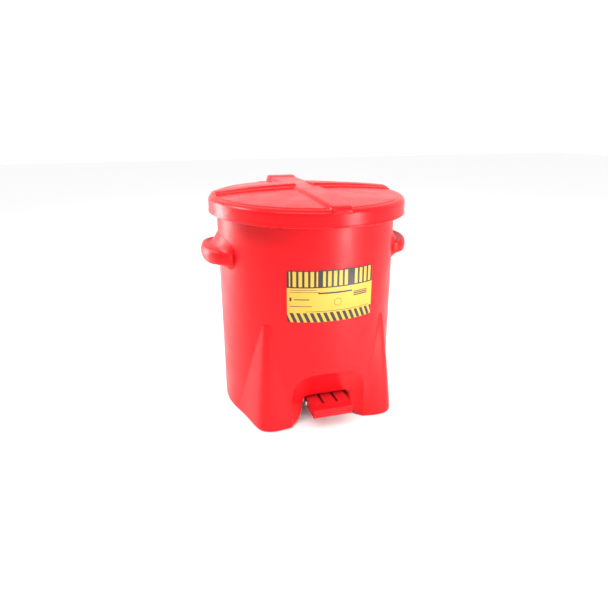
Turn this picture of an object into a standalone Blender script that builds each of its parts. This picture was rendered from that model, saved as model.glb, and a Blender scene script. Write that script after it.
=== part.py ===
"""Foot-operated oily waste can: raised-bottom moulded can, hinged domed lid, foot lever and lift rod.

Units are metres, +Z is up, the can's front faces -Y and the origin is on the floor under the can's axis.
"""

import math

import bmesh
import bpy
from mathutils import Matrix, Vector

for old in list(bpy.data.objects):
    bpy.data.objects.remove(old, do_unlink=True)

# ---- driving dimensions -------------------------------------------------------------------------
GAP = 0.0003  # between pieces that touch
RUN = 0.0001  # radial clearance of a turning pin
WALL = 0.005  # moulded wall

CAN_RADIUS = 0.158
CAN_HEIGHT = 0.383  # rim, just under the lid
FLOOR_TOP = 0.060  # inside bottom
FLOOR_UNDER = 0.054  # underside of the raised bottom

FOOT_ANGLE = 41.5  # degrees from the front to each foot's apex
FOOT_APEX_Z = 0.191
FOOT_REACH = 0.0270  # how far a foot stands out of the cylinder at the floor
FOOT_INNER_ANGLE = 17.0
FOOT_OUTER_ANGLE = 15.0

ARCH_HALF_WIDTH = 0.0667
ARCH_TOP_Z = 0.105
LIP_Z = 0.050
ARCH_DEPTH = 0.028
PEDAL_DOOR_HALF = 0.043

LID_HALF_WIDTH = 0.172
LID_HALF_LENGTH = 0.192
LID_WALL = 0.0045
LID_EDGE_Z = 0.360
LID_RIM_Z = 0.3875
LID_CROWN = 0.0090  # rise from rim to centre
TAB_HALF_WIDTH = 0.058
TAB_BACK_Y = 0.195
BAND_FRONT_Y = -0.195

HINGE_Y = 0.181
HINGE_Z = 0.372
HINGE_PIN_RADIUS = 0.004
LUG_RADIUS = 0.0082
LUG_INNER_X = 0.030
LUG_OUTER_X = 0.042
LID_OPENS = math.radians(60)

ROD_Y = 0.165
ROD_RADIUS = 0.003
LINK_PIN_RADIUS = 0.0025
LIFT_ARM = HINGE_Y - ROD_Y
HALF_STROKE = LIFT_ARM * math.tan(LID_OPENS / 2)

PIVOT_Y = 0.018
PIVOT_Z = 0.034
AXLE_RADIUS = 0.004
BAR_X = 0.0125  # middle of each lever bar
BAR_THICK = 0.004
BAR_HALF_HEIGHT = 0.006
REAR_PIN_Z = PIVOT_Z - HALF_STROKE
TOP_PIN_Z = HINGE_Z - HALF_STROKE

PEDAL_HALF_WIDTH = 0.035
PEDAL_FRONT_Y = -0.1705
PEDAL_BACK_Y = -0.096
PEDAL_UNDER_Z = 0.028
PEDAL_EDGE_Z = 0.044

LABEL_HALF_ARC = 0.0755
LABEL_LOW_Z = 0.201
LABEL_HIGH_Z = 0.288
LABEL_THICK = 0.0008


# ---- shape helpers ------------------------------------------------------------------------------
def make_material(name, colour, metallic, roughness):
    """One Principled material."""
    mat = bpy.data.materials.new(name)
    mat.use_nodes = True
    shader = mat.node_tree.nodes["Principled BSDF"]
    shader.inputs["Base Color"].default_value = (*colour, 1)
    shader.inputs["Metallic"].default_value = metallic
    shader.inputs["Roughness"].default_value = roughness
    return mat


RED = (0.62, 0.012, 0.014)
STEEL = (0.62, 0.63, 0.65)
ZINC = (0.70, 0.71, 0.74)
DARK = (0.10, 0.10, 0.11)


def add_object(name, bm, colour, metallic=0.0, roughness=0.45, origin=(0, 0, 0), smooth=True):
    """Turns a bmesh in world metres into a named object whose origin is at the given point."""
    bmesh.ops.triangulate(bm, faces=[face for face in bm.faces if len(face.verts) == 4])
    bmesh.ops.recalc_face_normals(bm, faces=bm.faces)
    bmesh.ops.translate(bm, verts=bm.verts, vec=-Vector(origin))
    mesh = bpy.data.meshes.new(name)
    bm.to_mesh(mesh)
    bm.free()
    for face in mesh.polygons:
        face.use_smooth = smooth
    ob = bpy.data.objects.new(name, mesh)
    ob.location = origin
    bpy.context.scene.collection.objects.link(ob)
    mesh.materials.append(make_material(name, colour, metallic, roughness))
    if smooth:
        mesh.set_sharp_from_angle(angle=math.radians(35))
    return ob


def cutter_object(name, bm):
    """A hidden solid that a Boolean uses."""
    bmesh.ops.triangulate(bm, faces=[face for face in bm.faces if len(face.verts) == 4])
    bmesh.ops.recalc_face_normals(bm, faces=bm.faces)
    mesh = bpy.data.meshes.new(name)
    bm.to_mesh(mesh)
    bm.free()
    ob = bpy.data.objects.new(name, mesh)
    ob.hide_render = True
    ob.display_type = "WIRE"
    bpy.context.scene.collection.objects.link(ob)
    return ob


def boolean(target, tool, operation):
    """Adds one exact Boolean."""
    mod = target.modifiers.new(tool.name, "BOOLEAN")
    mod.operation = operation
    mod.solver = "EXACT"
    mod.object = tool
    return mod


def loft(bm, rings, closed_rows=False, caps=True):
    """Joins equal loops of points in order, and caps both ends or joins the last to the first."""
    rows = [[bm.verts.new(p) for p in ring] for ring in rings]
    count = len(rows[0])
    pairs = list(zip(rows, rows[1:]))
    if closed_rows:
        pairs.append((rows[-1], rows[0]))
    for low, high in pairs:
        for i in range(count):
            j = (i + 1) % count
            bm.faces.new((low[i], low[j], high[j], high[i]))
    if caps and not closed_rows:
        bm.faces.new(rows[0])
        bm.faces.new(rows[-1])


def axis_point(axis, centre, along, across, over):
    """A point at (along, across, over) from a centre, where along runs down the named axis."""
    if axis == "X":
        return (centre[0] + along, centre[1] + across, centre[2] + over)
    if axis == "Y":
        return (centre[0] + across, centre[1] + along, centre[2] + over)
    return (centre[0] + across, centre[1] + over, centre[2] + along)


def revolve(bm, profile, axis, centre, segments=24, closed=False):
    """Turns (along, radius) points about an axis. A closed profile makes a ring or tube."""
    rings = []
    for along, radius in profile:
        ring = []
        for k in range(segments):
            turn = 2 * math.pi * (k + 0.5) / segments
            ring.append(axis_point(axis, centre, along, radius * math.cos(turn), radius * math.sin(turn)))
        rings.append(ring)
    loft(bm, rings, closed_rows=closed)


def plate(bm, outline, holes, place, low, high):
    """A flat plate: a 2-D outline with round or shaped holes, given thickness from low to high."""
    loops = [outline] + holes
    bottom_loops = []
    top_loops = []
    for loop in loops:
        bottom_loops.append([bm.verts.new(place(u, v, low)) for u, v in loop])
        top_loops.append([bm.verts.new(place(u, v, high)) for u, v in loop])
    for loop_set in (bottom_loops, top_loops):
        edges = []
        for loop in loop_set:
            for i, vert in enumerate(loop):
                edges.append(bm.edges.new((vert, loop[(i + 1) % len(loop)])))
        bmesh.ops.triangle_fill(bm, use_beauty=True, use_dissolve=False, edges=edges)
    for bottom, top in zip(bottom_loops, top_loops):
        for i in range(len(bottom)):
            j = (i + 1) % len(bottom)
            bm.faces.new((bottom[i], bottom[j], top[j], top[i]))


def circle(u, v, radius, segments=20):
    """A closed 2-D circle."""
    return [
        (
            u + radius * math.cos(2 * math.pi * (k + 0.5) / segments),
            v + radius * math.sin(2 * math.pi * (k + 0.5) / segments),
        )
        for k in range(segments)
    ]


def arc(u, v, radius, start, end, steps):
    """2-D points on an arc, angles in degrees."""
    points = []
    for k in range(steps + 1):
        turn = math.radians(start + (end - start) * k / steps)
        points.append((u + radius * math.cos(turn), v + radius * math.sin(turn)))
    return points


def rounded_rectangle(low, high, radius, steps=3):
    """A closed 2-D rectangle with rounded corners."""
    corners = (
        (high[0] - radius, high[1] - radius, 0),
        (low[0] + radius, high[1] - radius, 90),
        (low[0] + radius, low[1] + radius, 180),
        (high[0] - radius, low[1] + radius, 270),
    )
    points = []
    for u, v, start in corners:
        points += arc(u, v, radius, start, start + 90, steps)
    return points


def box(bm, low, high):
    """A plain block."""
    matrix = Matrix.Translation([(a + b) / 2 for a, b in zip(low, high)])
    size = Matrix.Diagonal([b - a for a, b in zip(low, high)] + [1])
    bmesh.ops.create_cube(bm, size=1, matrix=matrix @ size)


def on_yz(u, v, w):
    return (w, u, v)


def on_xz(u, v, w):
    return (u, w, v)


def on_xy(u, v, w):
    return (u, v, w)


def moved(points, du, dv):
    return [(u + du, v + dv) for u, v in points]


# ---- the can ------------------------------------------------------------------------------------
def foot_bulge(angle, z):
    """How far the nearer front foot stands out at an angle from the front, in degrees."""
    rise = max(0.0, 1 - z / FOOT_APEX_Z)
    if rise <= 0:
        return 0.0
    spread = max(rise, 0.02) ** 0.55
    offset = (abs(angle) - FOOT_ANGLE + 1.5 * rise) / spread
    if offset < 0:
        if offset < -FOOT_INNER_ANGLE:
            return 0.0
        shape = (1 + math.cos(math.pi * offset / FOOT_INNER_ANGLE)) / 2
    else:
        if offset > 3 * FOOT_OUTER_ANGLE:
            return 0.0
        shape = (1 + (offset / FOOT_OUTER_ANGLE) ** 2) ** -1.5
        shape *= 1 - (offset / (3 * FOOT_OUTER_ANGLE)) ** 2
    return FOOT_REACH * rise**0.9 * shape


def arch_scoop(angle, z):
    """How far the arch over the pedal is set in at an angle from the front, in degrees."""
    if abs(angle) > 40:
        return 0.0
    across = abs(CAN_RADIUS * math.sin(math.radians(angle))) / ARCH_HALF_WIDTH
    if across >= 1:
        return 0.0
    height = ARCH_TOP_Z - LIP_Z
    side = 1 - across**3
    top = LIP_Z + height * side ** (1 / 3)
    depth = (top - max(z, LIP_Z)) / height
    if depth <= 0:
        return 0.0
    return ARCH_DEPTH * side**0.4 * depth**0.85


def can_skin(angle, z, inset):
    """A point of the can's outside, or of the inside that is inset from it."""
    radius = CAN_RADIUS + foot_bulge(angle, z) - arch_scoop(angle, z) - inset
    turn = math.radians(angle)
    return (radius * math.sin(turn), -radius * math.cos(turn), z)


def can_angles():
    """Column angles from the front: close together over the feet and the arch."""
    angles = []
    angle = -86.0
    while angle < 86.0 - 1e-6:
        angles.append(angle)
        angle += 2.6875
    while angle < 274.0 - 1e-6:
        angles.append(angle)
        angle += 188.0 / 36
    return angles


def wrap(angle):
    return angle - 360 if angle > 180 else angle


def can_ring(z, inset):
    return [can_skin(wrap(a), z, inset) for a in can_angles()]


def shrunk(ring, z, share):
    return [(x * share, y * share, z) for x, y, _ in ring]


def body_shell():
    """The whole can as one closed skin: inside, rim, outside, floor ring and raised underside."""
    bm = bmesh.new()
    rings = [shrunk(can_ring(FLOOR_TOP, WALL), FLOOR_TOP, share) for share in (0.35, 0.97)]
    for z in (0.0625, 0.071, 0.083, 0.095, 0.108, 0.128, 0.150, 0.172, 0.192, 0.290):
        rings.append(can_ring(z, WALL))
    rings.append(can_ring(CAN_HEIGHT - 0.0015, WALL))
    rings.append(can_ring(CAN_HEIGHT, WALL - 0.0012))
    rings.append(can_ring(CAN_HEIGHT, 0.0012))
    rings.append(can_ring(CAN_HEIGHT - 0.0015, 0))
    for z in (0.290, 0.192, 0.182, 0.166, 0.150, 0.135, 0.120, 0.108, 0.1035, 0.098, 0.090, 0.080, 0.068):
        rings.append(can_ring(z, 0))
    for z in (0.054, 0.040, 0.024, 0.010, 0.0025):
        rings.append(can_ring(z, 0))
    rings.append(can_ring(0, 0.0015))
    rings.append(can_ring(0, WALL))
    for z in (0.012, 0.030, 0.046):
        rings.append(can_ring(z, WALL))
    rings.append(shrunk(can_ring(FLOOR_UNDER, WALL), FLOOR_UNDER, 0.985))
    rings.append(shrunk(can_ring(FLOOR_UNDER, WALL), FLOOR_UNDER, 0.35))
    loft(bm, rings)
    return bm


HANDLE_HALF_ANGLE = 25.0
HANDLE_REACH = 0.0320


def handle_reach(turn):
    share = min(1.0, abs(turn) / HANDLE_HALF_ANGLE)
    return HANDLE_REACH * max(0.0, 1 - share**2.6) ** 0.5


def radial_point(side, turn, radius, z):
    a = math.radians(turn)
    return (side * radius * math.cos(a), side * radius * math.sin(a), z)


def handle_solid(side):
    """One plump carrying lug with a saddle on top."""
    bm = bmesh.new()
    rings = []
    steps = 16
    for k in range(steps + 1):
        turn = -HANDLE_HALF_ANGLE * math.cos(math.pi * k / steps) * 0.999
        reach = handle_reach(turn)
        share = reach / HANDLE_REACH
        outer = CAN_RADIUS - 0.0006
        ring = []
        section = (
            (0.00, 0.322), (0.14, 0.3155), (0.34, 0.3065), (0.54, 0.3045), (0.74, 0.3070), (0.90, 0.3045),
            (0.98, 0.2990), (1.00, 0.2935), (0.98, 0.2870), (0.90, 0.2820), (0.60, 0.2775), (0.30, 0.2720),
            (0.00, 0.2650),
        )
        middle = 0.2935
        ring.append(radial_point(side, turn, CAN_RADIUS - 0.0030, 0.2950 + 0.022 * share))
        for out, z in section:
            radius = outer + reach * out
            height = middle + (z - middle) * (0.45 + 0.55 * share)
            ring.append(radial_point(side, turn, radius, height))
        ring.append(radial_point(side, turn, CAN_RADIUS - 0.0030, 0.2920 - 0.022 * share))
        rings.append(ring)
    loft(bm, rings)
    return bm


def finger_pocket(side):
    """The hollow under a carrying lug."""
    bm = bmesh.new()
    rings = []
    steps = 10
    half = 18.5
    for k in range(steps + 1):
        turn = -half + 2 * half * k / steps
        low = CAN_RADIUS + 0.0005
        high = max(low + 0.004, CAN_RADIUS + handle_reach(turn) * 0.70 - 0.0015 * abs(turn) / half)
        top = 0.2975 - 0.006 * (turn / half) ** 2
        rings.append(
            [
                radial_point(side, turn, low, 0.250),
                radial_point(side, turn, high, 0.250),
                radial_point(side, turn, high, top - 0.003),
                radial_point(side, turn, (low + high) / 2, top),
                radial_point(side, turn, low, top - 0.003),
            ]
        )
    loft(bm, rings)
    return bm


def hinge_lugs():
    """Two lugs at the back of the rim that carry the hinge pin."""
    bm = bmesh.new()
    outline = [(0.1505, 0.3780), (0.1700, 0.3802)]
    outline += arc(HINGE_Y, HINGE_Z, LUG_RADIUS, 90, -90, 10)
    outline += [(0.1710, 0.3636), (0.1600, 0.3500), (0.1505, 0.3400)]
    for low, high in ((LUG_INNER_X, LUG_OUTER_X), (-LUG_OUTER_X, -LUG_INNER_X)):
        plate(bm, outline, [], on_yz, low, high)
    return bm


GUIDE_HEIGHTS = (0.099, 0.309)
GUIDE_SCREW_X = 0.017
SCREW_RADIUS = 0.002
BRACKET_X = 0.030
BRACKET_THICK = 0.003
BRACKET_SCREW_X = 0.043
BRACKET_SCREW_DY = 0.011


def cylinder(bm, axis, centre, radius, low, high, segments=20):
    revolve(bm, ((low, radius), (high, radius)), axis, centre, segments)


body = add_object("body", body_shell(), RED, roughness=0.42)
for side, word in ((1, "right"), (-1, "left")):
    boolean(body, cutter_object("join_handle_" + word, handle_solid(side)), "UNION")
    boolean(body, cutter_object("cut_fingers_" + word, finger_pocket(side)), "DIFFERENCE")
boolean(body, cutter_object("join_hinge_lugs", hinge_lugs()), "UNION")

cuts = bmesh.new()
box(cuts, (-PEDAL_DOOR_HALF, -0.205, -0.010), (PEDAL_DOOR_HALF, -0.100, LIP_Z))
box(cuts, (-0.0185, 0.130, -0.010), (0.0185, 0.175, FLOOR_UNDER - 0.0020))
cylinder(cuts, "X", (0, HINGE_Y, HINGE_Z), HINGE_PIN_RADIUS + RUN, -0.050, 0.050, 24)
boolean(body, cutter_object("cut_openings", cuts), "DIFFERENCE")

pilots = bmesh.new()
for z in GUIDE_HEIGHTS:
    for x in (-GUIDE_SCREW_X, GUIDE_SCREW_X):
        cylinder(pilots, "Y", (x, 0, z), SCREW_RADIUS + GAP, 0.1538, 0.162, 12)
for x in (-BRACKET_SCREW_X, BRACKET_SCREW_X):
    for dy in (-BRACKET_SCREW_DY, BRACKET_SCREW_DY):
        cylinder(pilots, "Z", (x, PIVOT_Y + dy, 0), SCREW_RADIUS + GAP, FLOOR_UNDER - 0.003, FLOOR_UNDER + 0.0045, 12)
boolean(body, cutter_object("cut_pilots", pilots), "DIFFERENCE")


# ---- the label ----------------------------------------------------------------------------------
def label_sheet():
    """A thin curved sheet on the front of the can."""
    bm = bmesh.new()
    inner = CAN_RADIUS + GAP
    outer = inner + LABEL_THICK
    half = LABEL_HALF_ARC / inner
    rings = []
    steps = 18
    for k in range(steps + 1):
        turn = -half + 2 * half * k / steps
        ring = []
        for radius, z in (
            (inner, LABEL_LOW_Z),
            (outer, LABEL_LOW_Z),
            (outer, LABEL_HIGH_Z),
            (inner, LABEL_HIGH_Z),
        ):
            ring.append((radius * math.sin(turn), -radius * math.cos(turn), z))
        rings.append(ring)
    loft(bm, rings)
    return bm


add_object("label", label_sheet(), (0.85, 0.60, 0.02), roughness=0.35)


# ---- the lid ------------------------------------------------------------------------------------
def lid_plan(inset):
    """The lid's outline seen from above: an oval with a square hinge housing at the back."""
    half_x = LID_HALF_WIDTH - inset
    half_y = LID_HALF_LENGTH - inset
    tab_x = TAB_HALF_WIDTH - inset
    tab_y = TAB_BACK_Y - inset
    root = math.acos(tab_x / half_x)
    points = []
    steps = 76
    start = root
    sweep = math.pi + 2 * root
    for k in range(steps + 1):
        turn = start - sweep * k / steps
        points.append((half_x * math.cos(turn), half_y * math.sin(turn)))
    corner = 0.006 - inset / 2
    points += arc(-tab_x + corner, tab_y - corner, corner, 180, 90, 3)
    for k in range(1, 8):
        points.append((-tab_x + corner + (2 * tab_x - 2 * corner) * k / 8, tab_y))
    points += arc(tab_x - corner, tab_y - corner, corner, 90, 0, 3)
    return points


def lid_height(x, y):
    """The height of the lid's outside away from its rounded edge."""
    share = (x / LID_HALF_WIDTH) ** 2 + (y / LID_HALF_LENGTH) ** 2
    return LID_RIM_Z + LID_CROWN * (1 - min(1.0, share))


def lid_ring(inset, drop, share=1.0):
    return [(x * share, y * share, lid_height(x * share, y * share) - drop) for x, y in lid_plan(inset)]


def flat_ring(inset, z):
    return [(x, y, z) for x, y in lid_plan(inset)]


def lid_shell():
    """The domed lid as one closed skin with a deep skirt."""
    bm = bmesh.new()
    rings = [lid_ring(LID_WALL + 0.004, LID_WALL, 0.25)]
    for share in (0.5, 0.75, 0.93):
        rings.append(lid_ring(LID_WALL + 0.004, LID_WALL, share))
    rings.append(lid_ring(LID_WALL + 0.003, LID_WALL))
    rings.append(flat_ring(LID_WALL, LID_RIM_Z - 0.0085))
    rings.append(flat_ring(LID_WALL, LID_EDGE_Z))
    rings.append(flat_ring(0, LID_EDGE_Z))
    rings.append(flat_ring(0, LID_RIM_Z - 0.0085))
    rings.append(flat_ring(0.0012, LID_RIM_Z - 0.0045))
    rings.append(flat_ring(0.0038, LID_RIM_Z - 0.0012))
    rings.append(lid_ring(0.0080, 0))
    for share in (0.93, 0.75, 0.5, 0.25):
        rings.append(lid_ring(0.0080, 0, share))
    loft(bm, rings)
    return bm


def strip(bm, stations):
    """A raised strip: at each station four corners of a section, joined in order."""
    loft(bm, stations)


def centre_band():
    """The raised band down the middle of the lid, over its front edge and into the back bump."""
    bm = bmesh.new()
    stations = []
    path = (
        (BAND_FRONT_Y, 0.3765, 0.0150),
        (BAND_FRONT_Y, 0.3820, 0.0160),
        (BAND_FRONT_Y + 0.0035, 0.3885, 0.0172),
        (BAND_FRONT_Y + 0.0110, 0.3920, 0.0180),
        (-0.150, 0.3945, 0.0190),
        (-0.080, 0.3985, 0.0210),
        (0.000, 0.4000, 0.0230),
        (0.070, 0.3992, 0.0250),
        (0.140, 0.3982, 0.0270),
        (0.158, 0.3985, 0.0280),
        (0.166, 0.4005, 0.0290),
        (0.186, 0.4005, 0.0290),
        (0.1915, 0.3975, 0.0285),
        (0.1932, 0.3905, 0.0285),
    )
    for k, (y, z, half) in enumerate(path):
        if k < 2:
            inside = (BAND_FRONT_Y + 0.0050, z)
        elif k == 2:
            inside = (BAND_FRONT_Y + 0.0060, 0.3835)
        elif k == 3:
            inside = (BAND_FRONT_Y + 0.0130, 0.3855)
        elif k > 11:
            inside = (0.1880 + 0.0015 * (k - 12), 0.3850)
        else:
            inside = (y, lid_height(0, y) - 0.0022)
        bevel = 0.0022
        stations.append(
            [
                (-half - bevel, inside[0], inside[1]),
                (-half, y, z),
                (half, y, z),
                (half + bevel, inside[0], inside[1]),
            ]
        )
    strip(bm, stations)
    return bm


RIDGE_RISE = 0.0074


def cross_ridge():
    """The two-step ridge across the lid, on both sides of the band and over the side edges."""
    bm = bmesh.new()
    for side in (1, -1):
        stations = []
        for x in (0.1595, 0.1450, 0.1300, 0.1050, 0.0800, 0.0540, 0.0165):
            low = lid_height(x, 0) - 0.002
            top = lid_height(x, 0) + RIDGE_RISE - 0.0019 * (x / 0.157) ** 2
            far = 0.165 * (1 - (x / LID_HALF_WIDTH) ** 2) ** 0.5
            stations.append(
                [
                    (side * x, -0.0090, low),
                    (side * x, -0.0080, low + 0.0030),
                    (side * x, 0.0010, low + 0.0034),
                    (side * x, 0.0035, top),
                    (side * x, 0.0120, top),
                    (side * x, far, lid_height(x, far) - 0.0012),
                ]
            )
        strip(bm, stations)
    return bm


def hinge_ears():
    """The lid's own hinge ears, in the housing outside the can's lugs."""
    bm = bmesh.new()
    outline = [(0.1925, 0.3850), (0.1700, 0.3850), (0.1725, 0.3700)]
    outline += arc(HINGE_Y, HINGE_Z, LUG_RADIUS, 200, 300, 6)
    outline += [(0.1925, 0.3630)]
    for low, high in ((LUG_OUTER_X + 0.001, 0.055), (-0.055, -LUG_OUTER_X - 0.001)):
        plate(bm, outline, [], on_yz, low, high)
    return bm


lid_origin = (0, HINGE_Y, HINGE_Z)
lid = add_object("lid", lid_shell(), RED, roughness=0.38, origin=lid_origin)
boolean(lid, cutter_object("join_centre_band", centre_band()), "UNION")
boolean(lid, cutter_object("join_cross_ridge", cross_ridge()), "UNION")
boolean(lid, cutter_object("join_hinge_ears", hinge_ears()), "UNION")
BOSS_Z = 0.3822
boss = bmesh.new()
box(boss, (-0.022, 0.1665, BOSS_Z), (0.022, 0.1880, 0.3866))
boolean(lid, cutter_object("join_bracket_boss", boss), "UNION")
LIFT_SCREW_X = 0.015
LIFT_SCREW_Y = 0.178
lid_cuts = bmesh.new()
cylinder(lid_cuts, "X", (0, HINGE_Y, HINGE_Z), HINGE_PIN_RADIUS + GAP, -0.0533, 0.080, 24)
for x in (-LIFT_SCREW_X, LIFT_SCREW_X):
    cylinder(lid_cuts, "Z", (x, LIFT_SCREW_Y, 0), SCREW_RADIUS + GAP, BOSS_Z - 0.003, BOSS_Z + 0.0052, 12)
boolean(lid, cutter_object("cut_lid_holes", lid_cuts), "DIFFERENCE")


# ---- hinge pin and its clips --------------------------------------------------------------------
PIN_CLIP_X = LUG_INNER_X - GAP
PIN_GROOVE = HINGE_PIN_RADIUS - 0.0009
pin = bmesh.new()
pin_profile = [(-0.0530, HINGE_PIN_RADIUS - 0.0008), (-0.0522, HINGE_PIN_RADIUS)]
for side in (-1, 1):
    ends = sorted((side * PIN_CLIP_X, side * (PIN_CLIP_X - 0.0019)))
    pin_profile += [(ends[0], HINGE_PIN_RADIUS), (ends[0], PIN_GROOVE)]
    pin_profile += [(ends[1], PIN_GROOVE), (ends[1], HINGE_PIN_RADIUS)]
pin_profile += [(0.0542, HINGE_PIN_RADIUS), (0.0550, HINGE_PIN_RADIUS - 0.0008)]
revolve(pin, pin_profile, "X", lid_origin)
add_object("hinge_pin", pin, STEEL, 1.0, 0.3, origin=lid_origin)

# ---- lift bracket under the lid -----------------------------------------------------------------
FLANGE_TOP = BOSS_Z - GAP
FLANGE_UNDER = FLANGE_TOP - 0.0025


def lift_outline():
    """The slotted plate, about the hinge axis. Its slot is open and points at the link pin."""
    tip = LIFT_ARM + 0.0058
    slot_half = LINK_PIN_RADIUS + 0.0006
    inner = LIFT_ARM - LINK_PIN_RADIUS - 0.0004
    lean = LID_OPENS / 2
    ux, uz = -math.cos(lean), -math.sin(lean)
    nx, nz = -math.sin(lean), math.cos(lean)
    points = [(0.0070, FLANGE_UNDER - HINGE_Z + 0.0005), (0.0080, -0.0040), (0.0030, -0.0085)]
    points.append((-0.0050, -0.0088))
    slip = math.degrees(math.asin(slot_half / tip))
    points += arc(0, 0, tip - 0.0018, 180 + 48, 180 + 30 + slip + 1.0, 4)
    points.append((inner * ux - slot_half * nx, inner * uz - slot_half * nz))
    points.append((inner * ux + slot_half * nx, inner * uz + slot_half * nz))
    points += arc(0, 0, tip, 180 + 30 - slip, 180 - 19, 6)
    points.append((-0.0195, FLANGE_UNDER - HINGE_Z + 0.0005))
    return points


bracket = bmesh.new()
plate(
    bracket,
    moved(lift_outline(), HINGE_Y, HINGE_Z),
    [circle(HINGE_Y, HINGE_Z, HINGE_PIN_RADIUS + GAP, 24)],
    on_yz,
    -0.0020,
    0.0020,
)
lift_bracket = add_object("lift_bracket", bracket, ZINC, 1.0, 0.38, origin=lid_origin)
flange = bmesh.new()
plate(
    flange,
    rounded_rectangle((-0.0215, 0.1672), (0.0215, 0.1875), 0.003),
    [circle(x, LIFT_SCREW_Y, SCREW_RADIUS + GAP, 12) for x in (-LIFT_SCREW_X, LIFT_SCREW_X)],
    on_xy,
    FLANGE_UNDER,
    FLANGE_TOP,
)
boolean(lift_bracket, cutter_object("join_lift_flange", flange), "UNION")


def screw(bm, axis, centre, under_head, sign, length, head_radius=0.0040):
    """A pan-head screw. Its head's flat is at under_head and its shank runs along sign."""
    height = 0.0026
    profile = (
        (under_head - sign * height, 0.0016),
        (under_head - sign * height * 0.85, head_radius * 0.72),
        (under_head - sign * height * 0.45, head_radius * 0.96),
        (under_head, head_radius),
        (under_head, SCREW_RADIUS),
        (under_head + sign * (length - 0.0015), SCREW_RADIUS),
        (under_head + sign * length, SCREW_RADIUS * 0.35),
    )
    revolve(bm, profile, axis, centre, 14)


for x, word in ((-LIFT_SCREW_X, "left"), (LIFT_SCREW_X, "right")):
    fixing = bmesh.new()
    screw(fixing, "Z", (x, LIFT_SCREW_Y, 0), FLANGE_UNDER - GAP, 1, 0.0074, 0.0036)
    add_object("lift_bracket_screw_" + word, fixing, ZINC, 1.0, 0.35, origin=lid_origin)

# ---- lift rod, its fork and eye -----------------------------------------------------------------
ROD_TOP = TOP_PIN_Z - 0.0145
ROD_LOW = REAR_PIN_Z + 0.0095
rod_origin = (0, ROD_Y, TOP_PIN_Z)

rod = bmesh.new()
revolve(
    rod,
    (
        (ROD_LOW, ROD_RADIUS - 0.0006),
        (ROD_LOW + 0.0006, ROD_RADIUS),
        (ROD_TOP - 0.0006, ROD_RADIUS),
        (ROD_TOP, ROD_RADIUS - 0.0006),
    ),
    "Z",
    (0, ROD_Y, 0),
    20,
)
add_object("lift_rod", rod, STEEL, 1.0, 0.3, origin=rod_origin)

FORK_HALF = 0.0066
FORK_GAP_HALF = 0.0026
fork_bm = bmesh.new()
fork_outline = [
    (-FORK_HALF, TOP_PIN_Z - 0.0260),
    (FORK_HALF, TOP_PIN_Z - 0.0260),
    (FORK_HALF, TOP_PIN_Z + 0.0060),
    (FORK_GAP_HALF, TOP_PIN_Z + 0.0060),
    (FORK_GAP_HALF, TOP_PIN_Z - 0.0115),
    (-FORK_GAP_HALF, TOP_PIN_Z - 0.0115),
    (-FORK_GAP_HALF, TOP_PIN_Z + 0.0060),
    (-FORK_HALF, TOP_PIN_Z + 0.0060),
]
plate(fork_bm, fork_outline, [], on_xz, ROD_Y - 0.0055, ROD_Y + 0.0055)
fork = add_object("rod_top_fork", fork_bm, ZINC, 1.0, 0.38, origin=rod_origin, smooth=False)
fork_cut = bmesh.new()
cylinder(fork_cut, "Z", (0, ROD_Y, 0), ROD_RADIUS + GAP, TOP_PIN_Z - 0.030, TOP_PIN_Z - 0.0142)
cylinder(fork_cut, "X", (0, ROD_Y, TOP_PIN_Z), LINK_PIN_RADIUS + GAP, -0.012, 0.012)
boolean(fork, cutter_object("cut_fork", fork_cut), "DIFFERENCE")


def clevis_pin(bm, centre, half):
    """A headed pin along X with a groove for its clip at +X."""
    r = LINK_PIN_RADIUS
    revolve(
        bm,
        (
            (-half - 0.0021, 0.0026),
            (-half - 0.0016, 0.0042),
            (-half - GAP, 0.0044),
            (-half - GAP, r),
            (half + GAP, r),
            (half + GAP, r - 0.0007),
            (half + 0.0016, r - 0.0007),
            (half + 0.0016, r),
            (half + 0.0028, r),
            (half + 0.0032, r - 0.0005),
        ),
        "X",
        centre,
        20,
    )


def pin_clip(bm, centre, low, high, inner, outer):
    """An open retaining clip about an X axis."""
    outline = arc(centre[1], centre[2], outer, -60, 240, 16)
    outline += arc(centre[1], centre[2], inner, 240, -60, 16)
    plate(bm, outline, [], on_yz, low, high)


for side, word in ((-1, "left"), (1, "right")):
    clip = bmesh.new()
    ends = sorted((side * (PIN_CLIP_X - GAP), side * (PIN_CLIP_X - 0.0016)))
    pin_clip(clip, lid_origin, ends[0], ends[1], PIN_GROOVE + GAP, 0.0066)
    add_object("hinge_pin_clip_" + word, clip, DARK, 0.9, 0.4, origin=lid_origin)

top_pin = bmesh.new()
clevis_pin(top_pin, (0, ROD_Y, TOP_PIN_Z), FORK_HALF)
add_object("rod_top_pin", top_pin, STEEL, 1.0, 0.3, origin=rod_origin)

low_centre = (0, ROD_Y, REAR_PIN_Z)
BAR_OUT = BAR_X + BAR_THICK / 2
low_pin = bmesh.new()
clevis_pin(low_pin, low_centre, BAR_OUT + 0.0002)
add_object("rod_bottom_pin", low_pin, STEEL, 1.0, 0.3, origin=low_centre)

CLIP_IN = LINK_PIN_RADIUS - 0.0007 + GAP
for centre, half, word in (
    ((0, ROD_Y, TOP_PIN_Z), FORK_HALF, "top"),
    (low_centre, BAR_OUT + 0.0002, "bottom"),
):
    clip = bmesh.new()
    pin_clip(clip, centre, half + 2 * GAP, half + 0.0013, CLIP_IN, 0.0046)
    add_object("rod_pin_clip_" + word, clip, DARK, 0.9, 0.4, origin=centre)

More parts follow.
